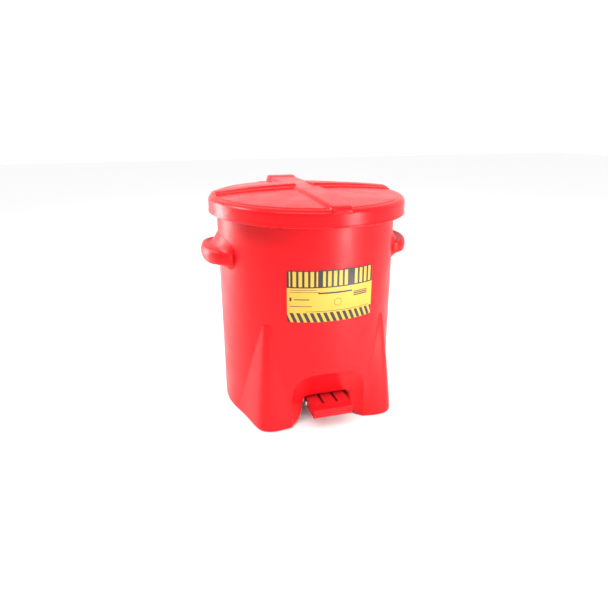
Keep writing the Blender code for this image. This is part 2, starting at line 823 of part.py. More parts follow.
eye_bm = bmesh.new()
EYE_HALF = BAR_X - BAR_THICK / 2 - 0.0012
eye_outline = [(-0.0055, REAR_PIN_Z + 0.0190)]
eye_outline += arc(0, REAR_PIN_Z, 0.0072, 150, 390, 16)
eye_outline += [(0.0055, REAR_PIN_Z + 0.0190)]
plate(eye_bm, moved(eye_outline, ROD_Y, 0), [], on_yz, -EYE_HALF, EYE_HALF)
eye = add_object("rod_bottom_eye", eye_bm, ZINC, 1.0, 0.38, origin=low_centre)
eye_cut = bmesh.new()
cylinder(eye_cut, "Z", (0, ROD_Y, 0), ROD_RADIUS + GAP, REAR_PIN_Z + 0.0092, REAR_PIN_Z + 0.022)
cylinder(eye_cut, "X", low_centre, LINK_PIN_RADIUS + GAP, -0.014, 0.014)
boolean(eye, cutter_object("cut_eye", eye_cut), "DIFFERENCE")


def hexagon(u, v, across_flats):
    return circle(u, v, across_flats / 2 / math.cos(math.pi / 6), 6)


for low, word in (
    (TOP_PIN_Z - 0.0260 - GAP - 0.0050, "top"),
    (REAR_PIN_Z + 0.0190 + GAP, "bottom"),
):
    nut = bmesh.new()
    plate(nut, hexagon(0, ROD_Y, 0.010), [circle(0, ROD_Y, ROD_RADIUS + GAP)], on_xy, low, low + 0.0050)
    add_object("rod_lock_nut_" + word, nut, ZINC, 1.0, 0.35, origin=(0, ROD_Y, low), smooth=False)

# ---- rod guides on the back wall ----------------------------------------------------------------
for z, word in zip(GUIDE_HEIGHTS, ("lower", "upper")):
    guide_bm = bmesh.new()
    plate(
        guide_bm,
        rounded_rectangle((-0.024, CAN_RADIUS + GAP), (0.024, ROD_Y + 0.0075), 0.003),
        [circle(0, ROD_Y, ROD_RADIUS + 0.0004)],
        on_xy,
        z - 0.008,
        z + 0.008,
    )
    guide = add_object("rod_guide_" + word, guide_bm, DARK, 0.0, 0.5)
    guide_cut = bmesh.new()
    for x in (-GUIDE_SCREW_X, GUIDE_SCREW_X):
        cylinder(guide_cut, "Y", (x, 0, z), SCREW_RADIUS + GAP, 0.150, 0.180, 12)
    boolean(guide, cutter_object("cut_guide_" + word, guide_cut), "DIFFERENCE")

for z, level in zip(GUIDE_HEIGHTS, ("lower", "upper")):
    for x, word in ((-GUIDE_SCREW_X, "left"), (GUIDE_SCREW_X, "right")):
        fixing = bmesh.new()
        screw(fixing, "Y", (x, 0, z), ROD_Y + 0.0075 + GAP, -1, 0.0182)
        add_object("rod_guide_screw_" + level + "_" + word, fixing, ZINC, 1.0, 0.35)

# ---- foot lever ---------------------------------------------------------------------------------
lever_origin = (0, PIVOT_Y, PIVOT_Z)
BOLT_YS = (-0.124, -0.108)
BOLT_RADIUS = 0.0025
REAR_HOLE_RADIUS = LINK_PIN_RADIUS + 0.0005


def bar_outline():
    """A cranked flat bar: level in front of the pivot, sloping down behind it."""
    h = BAR_HALF_HEIGHT
    slope = math.atan2(PIVOT_Z - REAR_PIN_Z, ROD_Y - PIVOT_Y)
    points = [(-0.150, PIVOT_Z + h), (-0.150, PIVOT_Z - h), (PIVOT_Y - 0.010, PIVOT_Z - h)]
    points.append((PIVOT_Y + h * math.sin(slope) * -1, PIVOT_Z - h * 1.15))
    end = math.degrees(slope)
    points += arc(ROD_Y, REAR_PIN_Z, h * 1.08, -90 - end, 90 - end, 10)
    points.append((PIVOT_Y + 0.004, PIVOT_Z + h * 1.15))
    points.append((PIVOT_Y - 0.010, PIVOT_Z + h))
    return points


for side, word in ((-1, "left"), (1, "right")):
    bar = bmesh.new()
    middle = side * BAR_X
    holes = [circle(PIVOT_Y, PIVOT_Z, AXLE_RADIUS + RUN, 24), circle(ROD_Y, REAR_PIN_Z, REAR_HOLE_RADIUS)]
    holes += [circle(y, PIVOT_Z, BOLT_RADIUS + GAP, 16) for y in BOLT_YS]
    plate(bar, bar_outline(), holes, on_yz, middle - BAR_THICK / 2, middle + BAR_THICK / 2)
    add_object("lever_bar_" + word, bar, ZINC, 1.0, 0.4, origin=lever_origin)


def tube(bm, low, high, inner, outer, centre, segments=24):
    revolve(bm, ((low, inner), (low, outer), (high, outer), (high, inner)), "X", centre, segments, closed=True)


BAR_IN = BAR_X - BAR_THICK / 2
spacer = bmesh.new()
tube(spacer, -BAR_IN + GAP, BAR_IN - GAP, AXLE_RADIUS + RUN, 0.0065, lever_origin)
add_object("axle_spacer_middle", spacer, ZINC, 1.0, 0.4, origin=lever_origin)

for low, high, word in (
    (BAR_OUT + GAP, BRACKET_X - GAP, "right"),
    (-BRACKET_X + GAP, -BAR_OUT - GAP, "left"),
):
    side_spacer = bmesh.new()
    tube(side_spacer, low, high, AXLE_RADIUS + RUN, 0.0065, lever_origin)
    add_object("axle_spacer_" + word, side_spacer, ZINC, 1.0, 0.4, origin=lever_origin)

AXLE_CLIP_X = BRACKET_X + BRACKET_THICK + GAP
axle = bmesh.new()
groove = AXLE_RADIUS - 0.0009
axle_profile = [(-AXLE_CLIP_X - 0.0040, AXLE_RADIUS - 0.0006), (-AXLE_CLIP_X - 0.0034, AXLE_RADIUS)]
axle_profile += [(-AXLE_CLIP_X - 0.0016, AXLE_RADIUS), (-AXLE_CLIP_X - 0.0016, groove)]
axle_profile += [(-AXLE_CLIP_X, groove), (-AXLE_CLIP_X, AXLE_RADIUS)]
axle_profile += [(-x, r) for x, r in reversed(axle_profile)]
revolve(axle, axle_profile, "X", lever_origin)
add_object("pivot_axle", axle, STEEL, 1.0, 0.3, origin=lever_origin)

for low, high, word in (
    (AXLE_CLIP_X + GAP, AXLE_CLIP_X + 0.0013, "right"),
    (-AXLE_CLIP_X - 0.0013, -AXLE_CLIP_X - GAP, "left"),
):
    clip = bmesh.new()
    pin_clip(clip, lever_origin, low, high, groove + GAP, 0.0068)
    add_object("axle_clip_" + word, clip, DARK, 0.9, 0.4, origin=lever_origin)

# ---- pivot brackets under the raised bottom -----------------------------------------------------
MOUNT_TOP = FLOOR_UNDER - GAP
MOUNT_UNDER = MOUNT_TOP - BRACKET_THICK
for side, word in ((-1, "left"), (1, "right")):
    ear = bmesh.new()
    ear_outline = [(PIVOT_Y + 0.018, MOUNT_UNDER + 0.001), (PIVOT_Y - 0.018, MOUNT_UNDER + 0.001)]
    ear_outline += arc(PIVOT_Y, PIVOT_Z, 0.0085, 200, 340, 10)
    ends = sorted((side * BRACKET_X, side * (BRACKET_X + BRACKET_THICK)))
    plate(ear, ear_outline, [circle(PIVOT_Y, PIVOT_Z, AXLE_RADIUS + RUN, 24)], on_yz, ends[0], ends[1])
    mount = add_object("pivot_bracket_" + word, ear, ZINC, 1.0, 0.4)
    foot = bmesh.new()
    ends = sorted((side * BRACKET_X, side * (BRACKET_X + 0.022)))
    plate(
        foot,
        rounded_rectangle((ends[0], PIVOT_Y - 0.018), (ends[1], PIVOT_Y + 0.018), 0.002),
        [
            circle(side * BRACKET_SCREW_X, PIVOT_Y + dy, SCREW_RADIUS + GAP, 12)
            for dy in (-BRACKET_SCREW_DY, BRACKET_SCREW_DY)
        ],
        on_xy,
        MOUNT_UNDER,
        MOUNT_TOP,
    )
    boolean(mount, cutter_object("join_flange_" + word, foot), "UNION")

for x, word in ((-BRACKET_SCREW_X, "left"), (BRACKET_SCREW_X, "right")):
    for dy, place in ((-BRACKET_SCREW_DY, "front"), (BRACKET_SCREW_DY, "rear")):
        fixing = bmesh.new()
        screw(fixing, "Z", (x, PIVOT_Y + dy, 0), MOUNT_UNDER - GAP, 1, 0.0075)
        add_object("pivot_bracket_screw_" + word + "_" + place, fixing, ZINC, 1.0, 0.35)

# ---- pedal --------------------------------------------------------------------------------------
PEDAL_TOP_Z = 0.0465


def pedal_outline():
    """The pedal from above: a ribbed front edge and two slots open at the back."""
    w = PEDAL_HALF_WIDTH
    points = [(w, PEDAL_BACK_Y), (w, PEDAL_FRONT_Y + 0.003)]
    ribs = 11
    for k in range(ribs):
        high = w - 0.0015 - (2 * w - 0.003) * k / ribs
        low = w - 0.0015 - (2 * w - 0.003) * (k + 0.62) / ribs
        points += [(high, PEDAL_FRONT_Y), (low, PEDAL_FRONT_Y)]
        if k < ribs - 1:
            following = w - 0.0015 - (2 * w - 0.003) * (k + 1) / ribs
            points += [(low - 0.0003, PEDAL_FRONT_Y + 0.0013), (following + 0.0003, PEDAL_FRONT_Y + 0.0013)]
    points += [(-w, PEDAL_FRONT_Y + 0.003), (-w, PEDAL_BACK_Y)]
    return points


pedal_bm = bmesh.new()
plate(pedal_bm, pedal_outline(), [], on_xy, PEDAL_UNDER_Z, PEDAL_EDGE_Z)
pedal = add_object("pedal", pedal_bm, RED, roughness=0.45, origin=lever_origin, smooth=False)
tread = bmesh.new()
tread_profile = [
    (PEDAL_FRONT_Y + 0.0060, PEDAL_EDGE_Z - 0.002),
    (PEDAL_BACK_Y - 0.0001, PEDAL_EDGE_Z - 0.002),
    (PEDAL_BACK_Y - 0.0001, PEDAL_TOP_Z),
    (PEDAL_FRONT_Y + 0.0150, PEDAL_TOP_Z),
    (PEDAL_FRONT_Y + 0.0085, PEDAL_EDGE_Z + 0.0012),
]
plate(tread, tread_profile, [], on_yz, -PEDAL_HALF_WIDTH + 0.0008, PEDAL_HALF_WIDTH - 0.0008)
boolean(pedal, cutter_object("join_tread", tread), "UNION")
slots = bmesh.new()
for side in (-1, 1):
    middle = side * BAR_X
    half = BAR_THICK / 2 + GAP
    box(slots, (middle - half, -0.153, 0.020), (middle + half, -0.090, 0.060))
boolean(pedal, cutter_object("cut_slots", slots), "DIFFERENCE")
bolt_holes = bmesh.new()
for y in BOLT_YS:
    cylinder(bolt_holes, "X", (0, y, PIVOT_Z), BOLT_RADIUS + GAP, -0.045, 0.045, 16)
boolean(pedal, cutter_object("cut_bolt_holes", bolt_holes), "DIFFERENCE")

SIDE = PEDAL_HALF_WIDTH + GAP
for y, place in zip(BOLT_YS, ("front", "rear")):
    bolt = bmesh.new()
    revolve(
        bolt,
        (
            (-SIDE - 0.0028, 0.0022),
            (-SIDE - 0.0022, 0.0040),
            (-SIDE, 0.0044),
            (-SIDE, BOLT_RADIUS),
            (SIDE + 0.0044, BOLT_RADIUS),
            (SIDE + 0.0048, BOLT_RADIUS - 0.0004),
        ),
        "X",
        (0, y, PIVOT_Z),
        16,
    )
    add_object("pedal_bolt_" + place, bolt, ZINC, 1.0, 0.35, origin=lever_origin)
    nut = bmesh.new()
    opening = [circle(y, PIVOT_Z, BOLT_RADIUS + GAP, 16)]
    plate(nut, hexagon(y, PIVOT_Z, 0.008), opening, on_yz, SIDE, SIDE + 0.0038)
    add_object("pedal_nut_" + place, nut, ZINC, 1.0, 0.35, origin=lever_origin, smooth=False)
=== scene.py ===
"""The looks of a foot-operated oily waste can, in metres, +Z up, front facing -Y, standing on z = 0."""

import math

import bmesh
import bpy
import numpy as np
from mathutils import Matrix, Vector


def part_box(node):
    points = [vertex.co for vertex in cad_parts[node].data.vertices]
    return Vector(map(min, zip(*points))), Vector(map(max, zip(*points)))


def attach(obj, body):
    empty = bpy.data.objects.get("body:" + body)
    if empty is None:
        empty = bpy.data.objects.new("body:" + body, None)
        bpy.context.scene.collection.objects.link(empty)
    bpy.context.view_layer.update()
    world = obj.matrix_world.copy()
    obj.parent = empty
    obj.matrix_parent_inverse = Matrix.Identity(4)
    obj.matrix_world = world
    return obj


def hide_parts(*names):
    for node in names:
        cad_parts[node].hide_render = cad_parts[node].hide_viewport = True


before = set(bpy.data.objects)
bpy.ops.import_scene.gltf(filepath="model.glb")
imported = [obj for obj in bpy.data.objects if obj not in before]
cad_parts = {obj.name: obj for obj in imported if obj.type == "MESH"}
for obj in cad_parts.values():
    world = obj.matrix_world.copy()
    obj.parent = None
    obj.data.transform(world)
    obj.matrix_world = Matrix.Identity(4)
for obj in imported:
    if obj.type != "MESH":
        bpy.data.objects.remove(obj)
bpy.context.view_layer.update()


# ---- camera, floor and studio light --------------------------------------------------------------
# A pale flat floor under four soft boxes: a long strip overhead, a small one high on the left for the lid's
# rim, a tall one to the right of the camera and one behind on the left. White surroundings, brighter
# towards the back, give the plastic its bright grazing edges.
eye_point = Vector((-0.2688, -0.8924, 0.5137))
heading = math.radians(16.63)
down_tilt = math.radians(19.956)
camera_data = bpy.data.cameras.new("camera")
camera_data.sensor_width = 36
camera_data.lens = 30.46
camera_data.clip_start = 0.01
camera = bpy.data.objects.new("camera", camera_data)
camera.location = eye_point
camera.rotation_euler = (math.pi / 2 - down_tilt, 0, -heading)
bpy.context.scene.collection.objects.link(camera)
bpy.context.scene.camera = camera
bpy.context.scene.view_settings.view_transform = "Standard"

floor_mesh = bpy.data.meshes.new("studio_floor")
floor_size = 6.0
floor_corners = [(-floor_size, -floor_size, 0), (floor_size, -floor_size, 0)]
floor_corners += [(floor_size, floor_size, 0), (-floor_size, floor_size, 0)]
floor_mesh.from_pydata(floor_corners, [], [(0, 1, 2, 3)])
floor = bpy.data.objects.new("studio_floor", floor_mesh)
floor_gap = 0.0004
floor.location.z = -floor_gap
bpy.context.scene.collection.objects.link(floor)
floor_paint = bpy.data.materials.new("studio_floor_paint")
floor_paint.use_nodes = True
floor_shader = floor_paint.node_tree.nodes["Principled BSDF"]
floor_shader.inputs["Base Color"].default_value = (0.96, 0.96, 0.96, 1)
floor_shader.inputs["Roughness"].default_value = 0.75
floor_shader.inputs["Specular IOR Level"].default_value = 0.5
floor_mesh.materials.append(floor_paint)

world = bpy.data.worlds.new("studio_air")
bpy.context.scene.world = world
world.use_nodes = True
air = world.node_tree.nodes
air_links = world.node_tree.links
direction = air.new("ShaderNodeTexCoord")
toward_back = air.new("ShaderNodeVectorMath")
toward_back.operation = "DOT_PRODUCT"
toward_back.inputs[1].default_value = (math.sin(heading), math.cos(heading), 0.9)
air_links.new(direction.outputs["Generated"], toward_back.inputs[0])
sweep = air.new("ShaderNodeMapRange")
sweep.interpolation_type = "SMOOTHSTEP"
sweep.inputs["From Min"].default_value = -0.55
sweep.inputs["From Max"].default_value = 0.45
sweep.inputs["To Min"].default_value = 0.60
sweep.inputs["To Max"].default_value = 1.06
air_links.new(toward_back.outputs["Value"], sweep.inputs["Value"])
air["Background"].inputs["Color"].default_value = (1.0, 1.0, 1.0, 1)
air_links.new(sweep.outputs["Result"], air["Background"].inputs["Strength"])


def soft_box(name, place, aim, width, height, watts):
    """A rectangular studio light aimed at a point."""
    lamp = bpy.data.lights.new(name, "AREA")
    lamp.shape = "RECTANGLE"
    lamp.size = width
    lamp.size_y = height
    lamp.energy = watts
    ob = bpy.data.objects.new(name, lamp)
    ob.location = place
    ob.rotation_euler = (Vector(aim) - Vector(place)).to_track_quat("-Z", "Y").to_euler()
    bpy.context.scene.collection.objects.link(ob)


soft_box("overhead_strip", (-0.45, -0.95, 1.50), (0, 0, 0.37), 1.70, 0.12, 14)
soft_box("rim_box", (-1.15, 0.45, 1.18), (0, 0, 0.37), 0.40, 0.22, 11)
soft_box("right_box", (0.62, -0.98, 0.36), (0, 0, 0.20), 0.28, 0.80, 15)
soft_box("left_box", (-0.98, 0.78, 0.36), (0, 0, 0.16), 0.45, 0.70, 10)


# ---- the can ---------------------------------------------------------------------------------------
# One hollow moulding in red polyethylene: straight wall, raised bottom, two half-cone feet in front,
# an arch over the pedal, and a slot at the back for the lever.
WALL = 0.005
CAN_RADIUS = 0.158
CAN_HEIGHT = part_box("body")[1][2]
FLOOR_TOP = 0.060
FLOOR_UNDER = 0.054
FOOT_ANGLE = 41.5
FOOT_APEX_Z = 0.191
FOOT_REACH = 0.0270
FOOT_STEP = 0.0012
ARCH_HALF_WIDTH = 0.0667
ARCH_TOP_Z = 0.105
LIP_Z = 0.050
ARCH_DEPTH = 0.028
LEVER_SLOT_HALF = 0.0185


def grid_faces(rows, columns, wrap=True, caps=False):
    """Quads over rows of points, wrapped round each row, with or without end caps."""
    r = np.arange(rows - 1)[:, None] * columns
    span = columns if wrap else columns - 1
    c = np.arange(span)[None, :]
    n = (np.arange(span)[None, :] + 1) % columns
    quads = np.stack([r + c, r + n, r + columns + n, r + columns + c], axis=-1).reshape(-1, 4).tolist()
    if caps:
        quads.append(list(range(columns))[::-1])
        quads.append(list(range((rows - 1) * columns, rows * columns)))
    return quads


def add_piece(name, parts, material, body, nodes=(), sharp=38, bevel=0.0):
    """Joins (points, faces) parts into one object that rides on a body and stands for CAD nodes."""
    bm = bmesh.new()
    for points, faces in parts:
        verts = [bm.verts.new(p) for p in points]
        for face in faces:
            bm.faces.new([verts[i] for i in face])
    bmesh.ops.recalc_face_normals(bm, faces=bm.faces)
    mesh = bpy.data.meshes.new(name)
    bm.to_mesh(mesh)
    bm.free()
    mesh.shade_smooth()
    ob = bpy.data.objects.new(name, mesh)
    bpy.context.scene.collection.objects.link(ob)
    mesh.materials.append(material)
    if bevel:
        rounding = ob.modifiers.new("rounded_edges", "BEVEL")
        rounding.width = bevel
        rounding.segments = 3
        rounding.limit_method = "ANGLE"
        rounding.angle_limit = math.radians(35)
        rounding.harden_normals = True
    mesh.set_sharp_from_angle(angle=math.radians(sharp))
    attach(ob, body)
    if nodes:
        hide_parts(*nodes)
    return ob


def noise(nodes, links, coords, scale, detail=3.0, stretch=None):
    """A noise texture over object space, and its value output."""
    tex = nodes.new("ShaderNodeTexNoise")
    tex.inputs["Scale"].default_value = scale
    tex.inputs["Detail"].default_value = detail
    source = coords.outputs["Object"]
    if stretch:
        mapping = nodes.new("ShaderNodeMapping")
        mapping.inputs["Scale"].default_value = stretch
        links.new(source, mapping.inputs["Vector"])
        source = mapping.outputs["Vector"]
    links.new(source, tex.inputs["Vector"])
    return tex.outputs["Fac"]


def ranged(nodes, links, value, low, high, from_low=0.3, from_high=0.7):
    """Maps a noise value onto a range."""
    node = nodes.new("ShaderNodeMapRange")
    node.inputs["From Min"].default_value = from_low
    node.inputs["From Max"].default_value = from_high
    node.inputs["To Min"].default_value = low
    node.inputs["To Max"].default_value = high
    links.new(value, node.inputs["Value"])
    return node.outputs["Result"]


def moulded_plastic(name, base, light, roughness, grain):
    """Waxy moulded polyethylene: faint clouding, satin patches, fine skin texture, paler worn edges."""
    mat = bpy.data.materials.new(name)
    mat.use_nodes = True
    nodes = mat.node_tree.nodes
    links = mat.node_tree.links
    shader = nodes["Principled BSDF"]
    coords = nodes.new("ShaderNodeTexCoord")
    geometry = nodes.new("ShaderNodeNewGeometry")
    cloud = ranged(nodes, links, noise(nodes, links, coords, 9.0), 0.0, 0.35)
    tint = nodes.new("ShaderNodeMix")
    tint.data_type = "RGBA"
    tint.inputs["A"].default_value = (*base, 1)
    tint.inputs["B"].default_value = (*light, 1)
    links.new(cloud, tint.inputs["Factor"])
    worn = ranged(nodes, links, geometry.outputs["Pointiness"], 0.0, 0.30, 0.53, 0.62)
    scuff = nodes.new("ShaderNodeMath")
    scuff.operation = "MULTIPLY"
    links.new(worn, scuff.inputs[0])
    links.new(ranged(nodes, links, noise(nodes, links, coords, 140.0), 0.25, 0.7), scuff.inputs[1])
    edge = nodes.new("ShaderNodeMix")
    edge.data_type = "RGBA"
    links.new(scuff.outputs["Value"], edge.inputs["Factor"])
    links.new(tint.outputs["Result"], edge.inputs["A"])
    edge.inputs["B"].default_value = (min(1, light[0] * 1.1), light[1] + 0.05, light[2] + 0.05, 1)
    links.new(edge.outputs["Result"], shader.inputs["Base Color"])
    patches = noise(nodes, links, coords, 26.0, 5.0)
    links.new(ranged(nodes, links, patches, roughness - 0.05, roughness + 0.06), shader.inputs["Roughness"])
    skin = nodes.new("ShaderNodeBump")
    skin.inputs["Strength"].default_value = grain
    skin.inputs["Distance"].default_value = 0.0004
    links.new(noise(nodes, links, coords, 420.0, 2.0), skin.inputs["Height"])
    ripple = nodes.new("ShaderNodeBump")
    ripple.inputs["Strength"].default_value = 0.06
    ripple.inputs["Distance"].default_value = 0.0020
    links.new(noise(nodes, links, coords, 14.0, 1.0), ripple.inputs["Height"])
    links.new(ripple.outputs["Normal"], skin.inputs["Normal"])
    links.new(skin.outputs["Normal"], shader.inputs["Normal"])
    shader.inputs["Specular IOR Level"].default_value = 0.20
    return mat


can_red = moulded_plastic("can_red_plastic", (0.58, 0.003, 0.006), (0.64, 0.006, 0.010), 0.35, 0.07)


def smooth_step(value):
    """0 below 0, 1 above 1, and a smooth rise between."""
    t = np.clip(value, 0.0, 1.0)
    return t * t * (3 - 2 * t)


def foot_bulge(angle, z):
    """How far the feet stand out, at angles in degrees from the front: a flat outer flank, a rounded
    crest, a rounded inner side, and a small step at the top."""
    rise = np.clip(1 - z / FOOT_APEX_Z, 0.0, 1.0)
    height = (FOOT_REACH - FOOT_STEP) * rise**0.9 + FOOT_STEP * smooth_step(rise / 0.02)
    offset = np.abs(angle) - FOOT_ANGLE + 1.5 * rise
    share = np.clip(-offset / (3.5 + 13.3 * rise), 0.0, 1.0)
    inner = 0.55 * (1 + np.cos(np.pi * share)) / 2 + 0.45 * (1 - share**2)
    outer_width = 1.8 + 25.5 * rise
    ease = 0.8 + 4.6 * rise
    run = np.hypot(np.clip(offset, 0, 70), ease) - ease
    eased = run * outer_width / (np.hypot(outer_width, ease) - ease)
    w = np.radians(outer_width)
    crest = CAN_RADIUS + height

    def chord(turn):
        across = crest * np.sin(turn) + CAN_RADIUS * np.sin(w - turn)
        return crest * CAN_RADIUS * np.sin(w) / across - CAN_RADIUS

    slope = np.maximum(chord(0.98 * w) / (0.02 * w), 0.02)
    turn = np.radians(eased)
    line = np.where(turn < w, chord(np.minimum(turn, w)), -slope * (turn - w))
    blur = 0.0009 * rise
    tail = blur**2 / (4 * np.maximum(np.abs(line), blur / 2)) * (line < 0)
    flank = (line + np.hypot(line, blur)) / 2 - tail
    return np.where(offset < 0, height * inner, np.maximum(flank, 0.0) * smooth_step(rise / 0.004))


def arch_scoop(angle, z):
    """How far the arch over the pedal is set in."""
    across = np.abs(CAN_RADIUS * np.sin(np.radians(angle))) / ARCH_HALF_WIDTH
    height = ARCH_TOP_Z - LIP_Z
    side = np.clip(1 - across**3, 0.0, 1.0)
    top = LIP_Z + height * side ** (1 / 3)
    depth = np.clip((top - np.maximum(z, LIP_Z)) / height, 0.0, 1.0)
    return np.where(np.abs(angle) < 40, ARCH_DEPTH * side**0.4 * depth**0.85, 0.0)


DOOR_RADIUS = 0.137
DOOR_TOE_X = 0.0610
DOOR_TOE_Z = 0.034
DOOR_JAMB_X = 0.0445
DOOR_HEAD_X = 0.0432
DOOR_HEAD_Z = 0.0415
DOOR_CROWN_X = 0.0350
DOOR_CROWN_Z = 0.0505
INSIDE_RADIUS = CAN_RADIUS - WALL


def edge_height(angle):
    """The height of the can's bottom edge: an arched door for the pedal and a slot for the lever."""
    x = np.abs(DOOR_RADIUS * np.sin(np.radians(angle)))
    toe_share = (DOOR_TOE_X - x) / (DOOR_TOE_X - DOOR_JAMB_X)
    toe = DOOR_TOE_Z * (1 - np.sqrt(np.clip(1 - toe_share**2, 0, 1)))
    jamb_share = (DOOR_JAMB_X - x) / (DOOR_JAMB_X - DOOR_HEAD_X)
    jamb = DOOR_TOE_Z + (DOOR_HEAD_Z - DOOR_TOE_Z) * jamb_share
    head_share = (x - DOOR_CROWN_X) / (DOOR_HEAD_X - DOOR_CROWN_X)
    head = DOOR_HEAD_Z + (DOOR_CROWN_Z - DOOR_HEAD_Z) * np.sqrt(np.clip(1 - head_share**2, 0, 1))
    door = np.where(x > DOOR_HEAD_X, jamb, head)
    door = np.where(x > DOOR_JAMB_X, toe, door)
    door = np.where(x > DOOR_TOE_X, 0.0, door)
    door = np.where(x < DOOR_CROWN_X, DOOR_CROWN_Z, door)
    slot_edge = 0.0018
    slot_x = INSIDE_RADIUS / DOOR_RADIUS * x
    slot = smooth_step((LEVER_SLOT_HALF + slot_edge - slot_x) / (2 * slot_edge))
    return np.where(np.abs(angle) < 90, door, (FLOOR_UNDER - 0.002) * slot)


def can_columns():
    """Column angles from the front, close together at the edges of the door and the slot."""
    angles = set(np.round(np.arange(-95, 95, 0.8), 3)) | set(np.round(np.arange(95.6, 265, 1.7), 3))
    head = np.linspace(0.0340, 0.0430, 20)
    jamb = np.linspace(DOOR_HEAD_X, DOOR_JAMB_X, 5)
    toe = np.linspace(0.0448, 0.062, 24)
    door = np.degrees(np.arcsin(np.concatenate([head, jamb, toe]) / DOOR_RADIUS))
    slot = math.degrees(math.asin(LEVER_SLOT_HALF / INSIDE_RADIUS))
    slot_left = np.linspace(178.5 - slot, 181.5 - slot, 19)
    slot_right = np.linspace(178.5 + slot, 181.5 + slot, 19)
    for band in (door, -door[::-1], slot_left, slot_right):
        angles = {a for a in angles if not band[0] - 0.2 < a < band[-1] + 0.2} | set(np.round(band, 4))
    turned = np.array(sorted(angles))
    return np.where(turned > 180, turned - 360, turned)


SEAM_Z = 0.1120
SEAM_DEPTH = 0.00022
SEAM_WIDTH = 0.0009
BOTTOM_EDGE_RADIUS = 0.0062
FLOOR_CORNER_RADIUS = 0.008
RIM_ROUND = 0.0022


def can_shell():
    """The whole skin of the can: inside, rim, outside, floor edge and raised underside."""
    a = can_columns()
    turn = np.radians(a)
    base = edge_height(a)
    rows = []

    def ring(z, inset, share=1.0):
        z = np.broadcast_to(np.asarray(z, float), a.shape)
        outside = np.ndim(inset) == 0 and inset == 0
        seam = SEAM_DEPTH * np.exp(-(((z - SEAM_Z) / SEAM_WIDTH) ** 2)) if outside else 0
        radius = (CAN_RADIUS + foot_bulge(a, z) - arch_scoop(a, z) - inset - seam) * share
        rows.append(np.stack([radius * np.sin(turn), -radius * np.cos(turn), z], axis=1))

    for share in (0.02, 0.3, 0.6, 0.85, 0.93):
        ring(FLOOR_TOP, WALL, share)
    for k in range(7):
        bend = math.pi / 2 * k / 6
        rise = FLOOR_CORNER_RADIUS * (1 - math.cos(bend))
        ring(FLOOR_TOP + rise, WALL + FLOOR_CORNER_RADIUS * (1 - math.sin(bend)))
    for z in np.linspace(0.071, 0.195, 36):
        ring(z, WALL)
    for z in np.linspace(0.21, CAN_HEIGHT - RIM_ROUND, 8):
        ring(z, WALL)
    for k in range(7):
        bend = math.pi * k / 6
        inset = WALL / 2 + (WALL / 2 - 0.0001) * math.cos(bend)
        ring(CAN_HEIGHT - RIM_ROUND + RIM_ROUND * math.sin(bend), inset)
    for z in np.linspace(CAN_HEIGHT - 0.004, 0.20, 12):
        ring(z, 0)
    for z in np.linspace(0.1955, 0.1165, 64):
        ring(z, 0)
    corner = BOTTOM_EDGE_RADIUS
    skirt_top = 0.1155
    for t in np.linspace(0, 1, 60):
        ring(skirt_top + (base + corner - skirt_top) * t, 0)
    for k in range(1, 9):
        bend = math.pi / 2 * k / 8
        ring(base + corner * (1 - math.sin(bend)), corner * (1 - math.cos(bend)))
    ring(base + 0.0002, corner + 0.0010)
    foot_inset = corner + 0.0018
    foot_lift = 0.0010
    ring(base + foot_lift, foot_inset)
    under = np.maximum(FLOOR_UNDER - 0.003, base + 0.0014)
    for t in np.linspace(0.04, 1, 14):
        inset = WALL + (foot_inset - WALL) * max(0, 1 - t * 4)
        ring(base + foot_lift + (under - base - foot_lift) * t, inset)
    ring(FLOOR_UNDER - 0.0008, WALL + 0.0012)
    for share in (0.98, 0.9, 0.75, 0.5, 0.25, 0.02):
        ring(FLOOR_UNDER, WALL, share)
    points = np.concatenate(rows)
    return points, grid_faces(len(rows), len(a), caps=True)


HANDLE_HALF_ANGLE = 25.0
HANDLE_REACH = 0.0316
HANDLE_MIDDLE_Z = 0.2935


def smooth_between(p0, p1, p2, p3, t):
    """A point on the smooth curve from p1 to p2, with p0 before them and p3 after."""
    bend = 2 * p0 - 5 * p1 + 4 * p2 - p3
    twist = 3 * p1 - p0 - 3 * p2 + p3
    return 0.5 * (2 * p1 + (p2 - p0) * t + bend * t**2 + twist * t**3)


def rounded_loop(points, count):
    """A smooth closed curve through points, evenly sampled between them."""
    pts = np.array(points, float)
    steps = count // len(pts)
    t = np.arange(steps)[:, None] / steps
    out = []
    for i in range(len(pts)):
        p0, p1, p2, p3 = (pts[(i + k - 1) % len(pts)] for k in range(4))
        out.append(smooth_between(p0, p1, p2, p3, t))
    return np.concatenate(out)


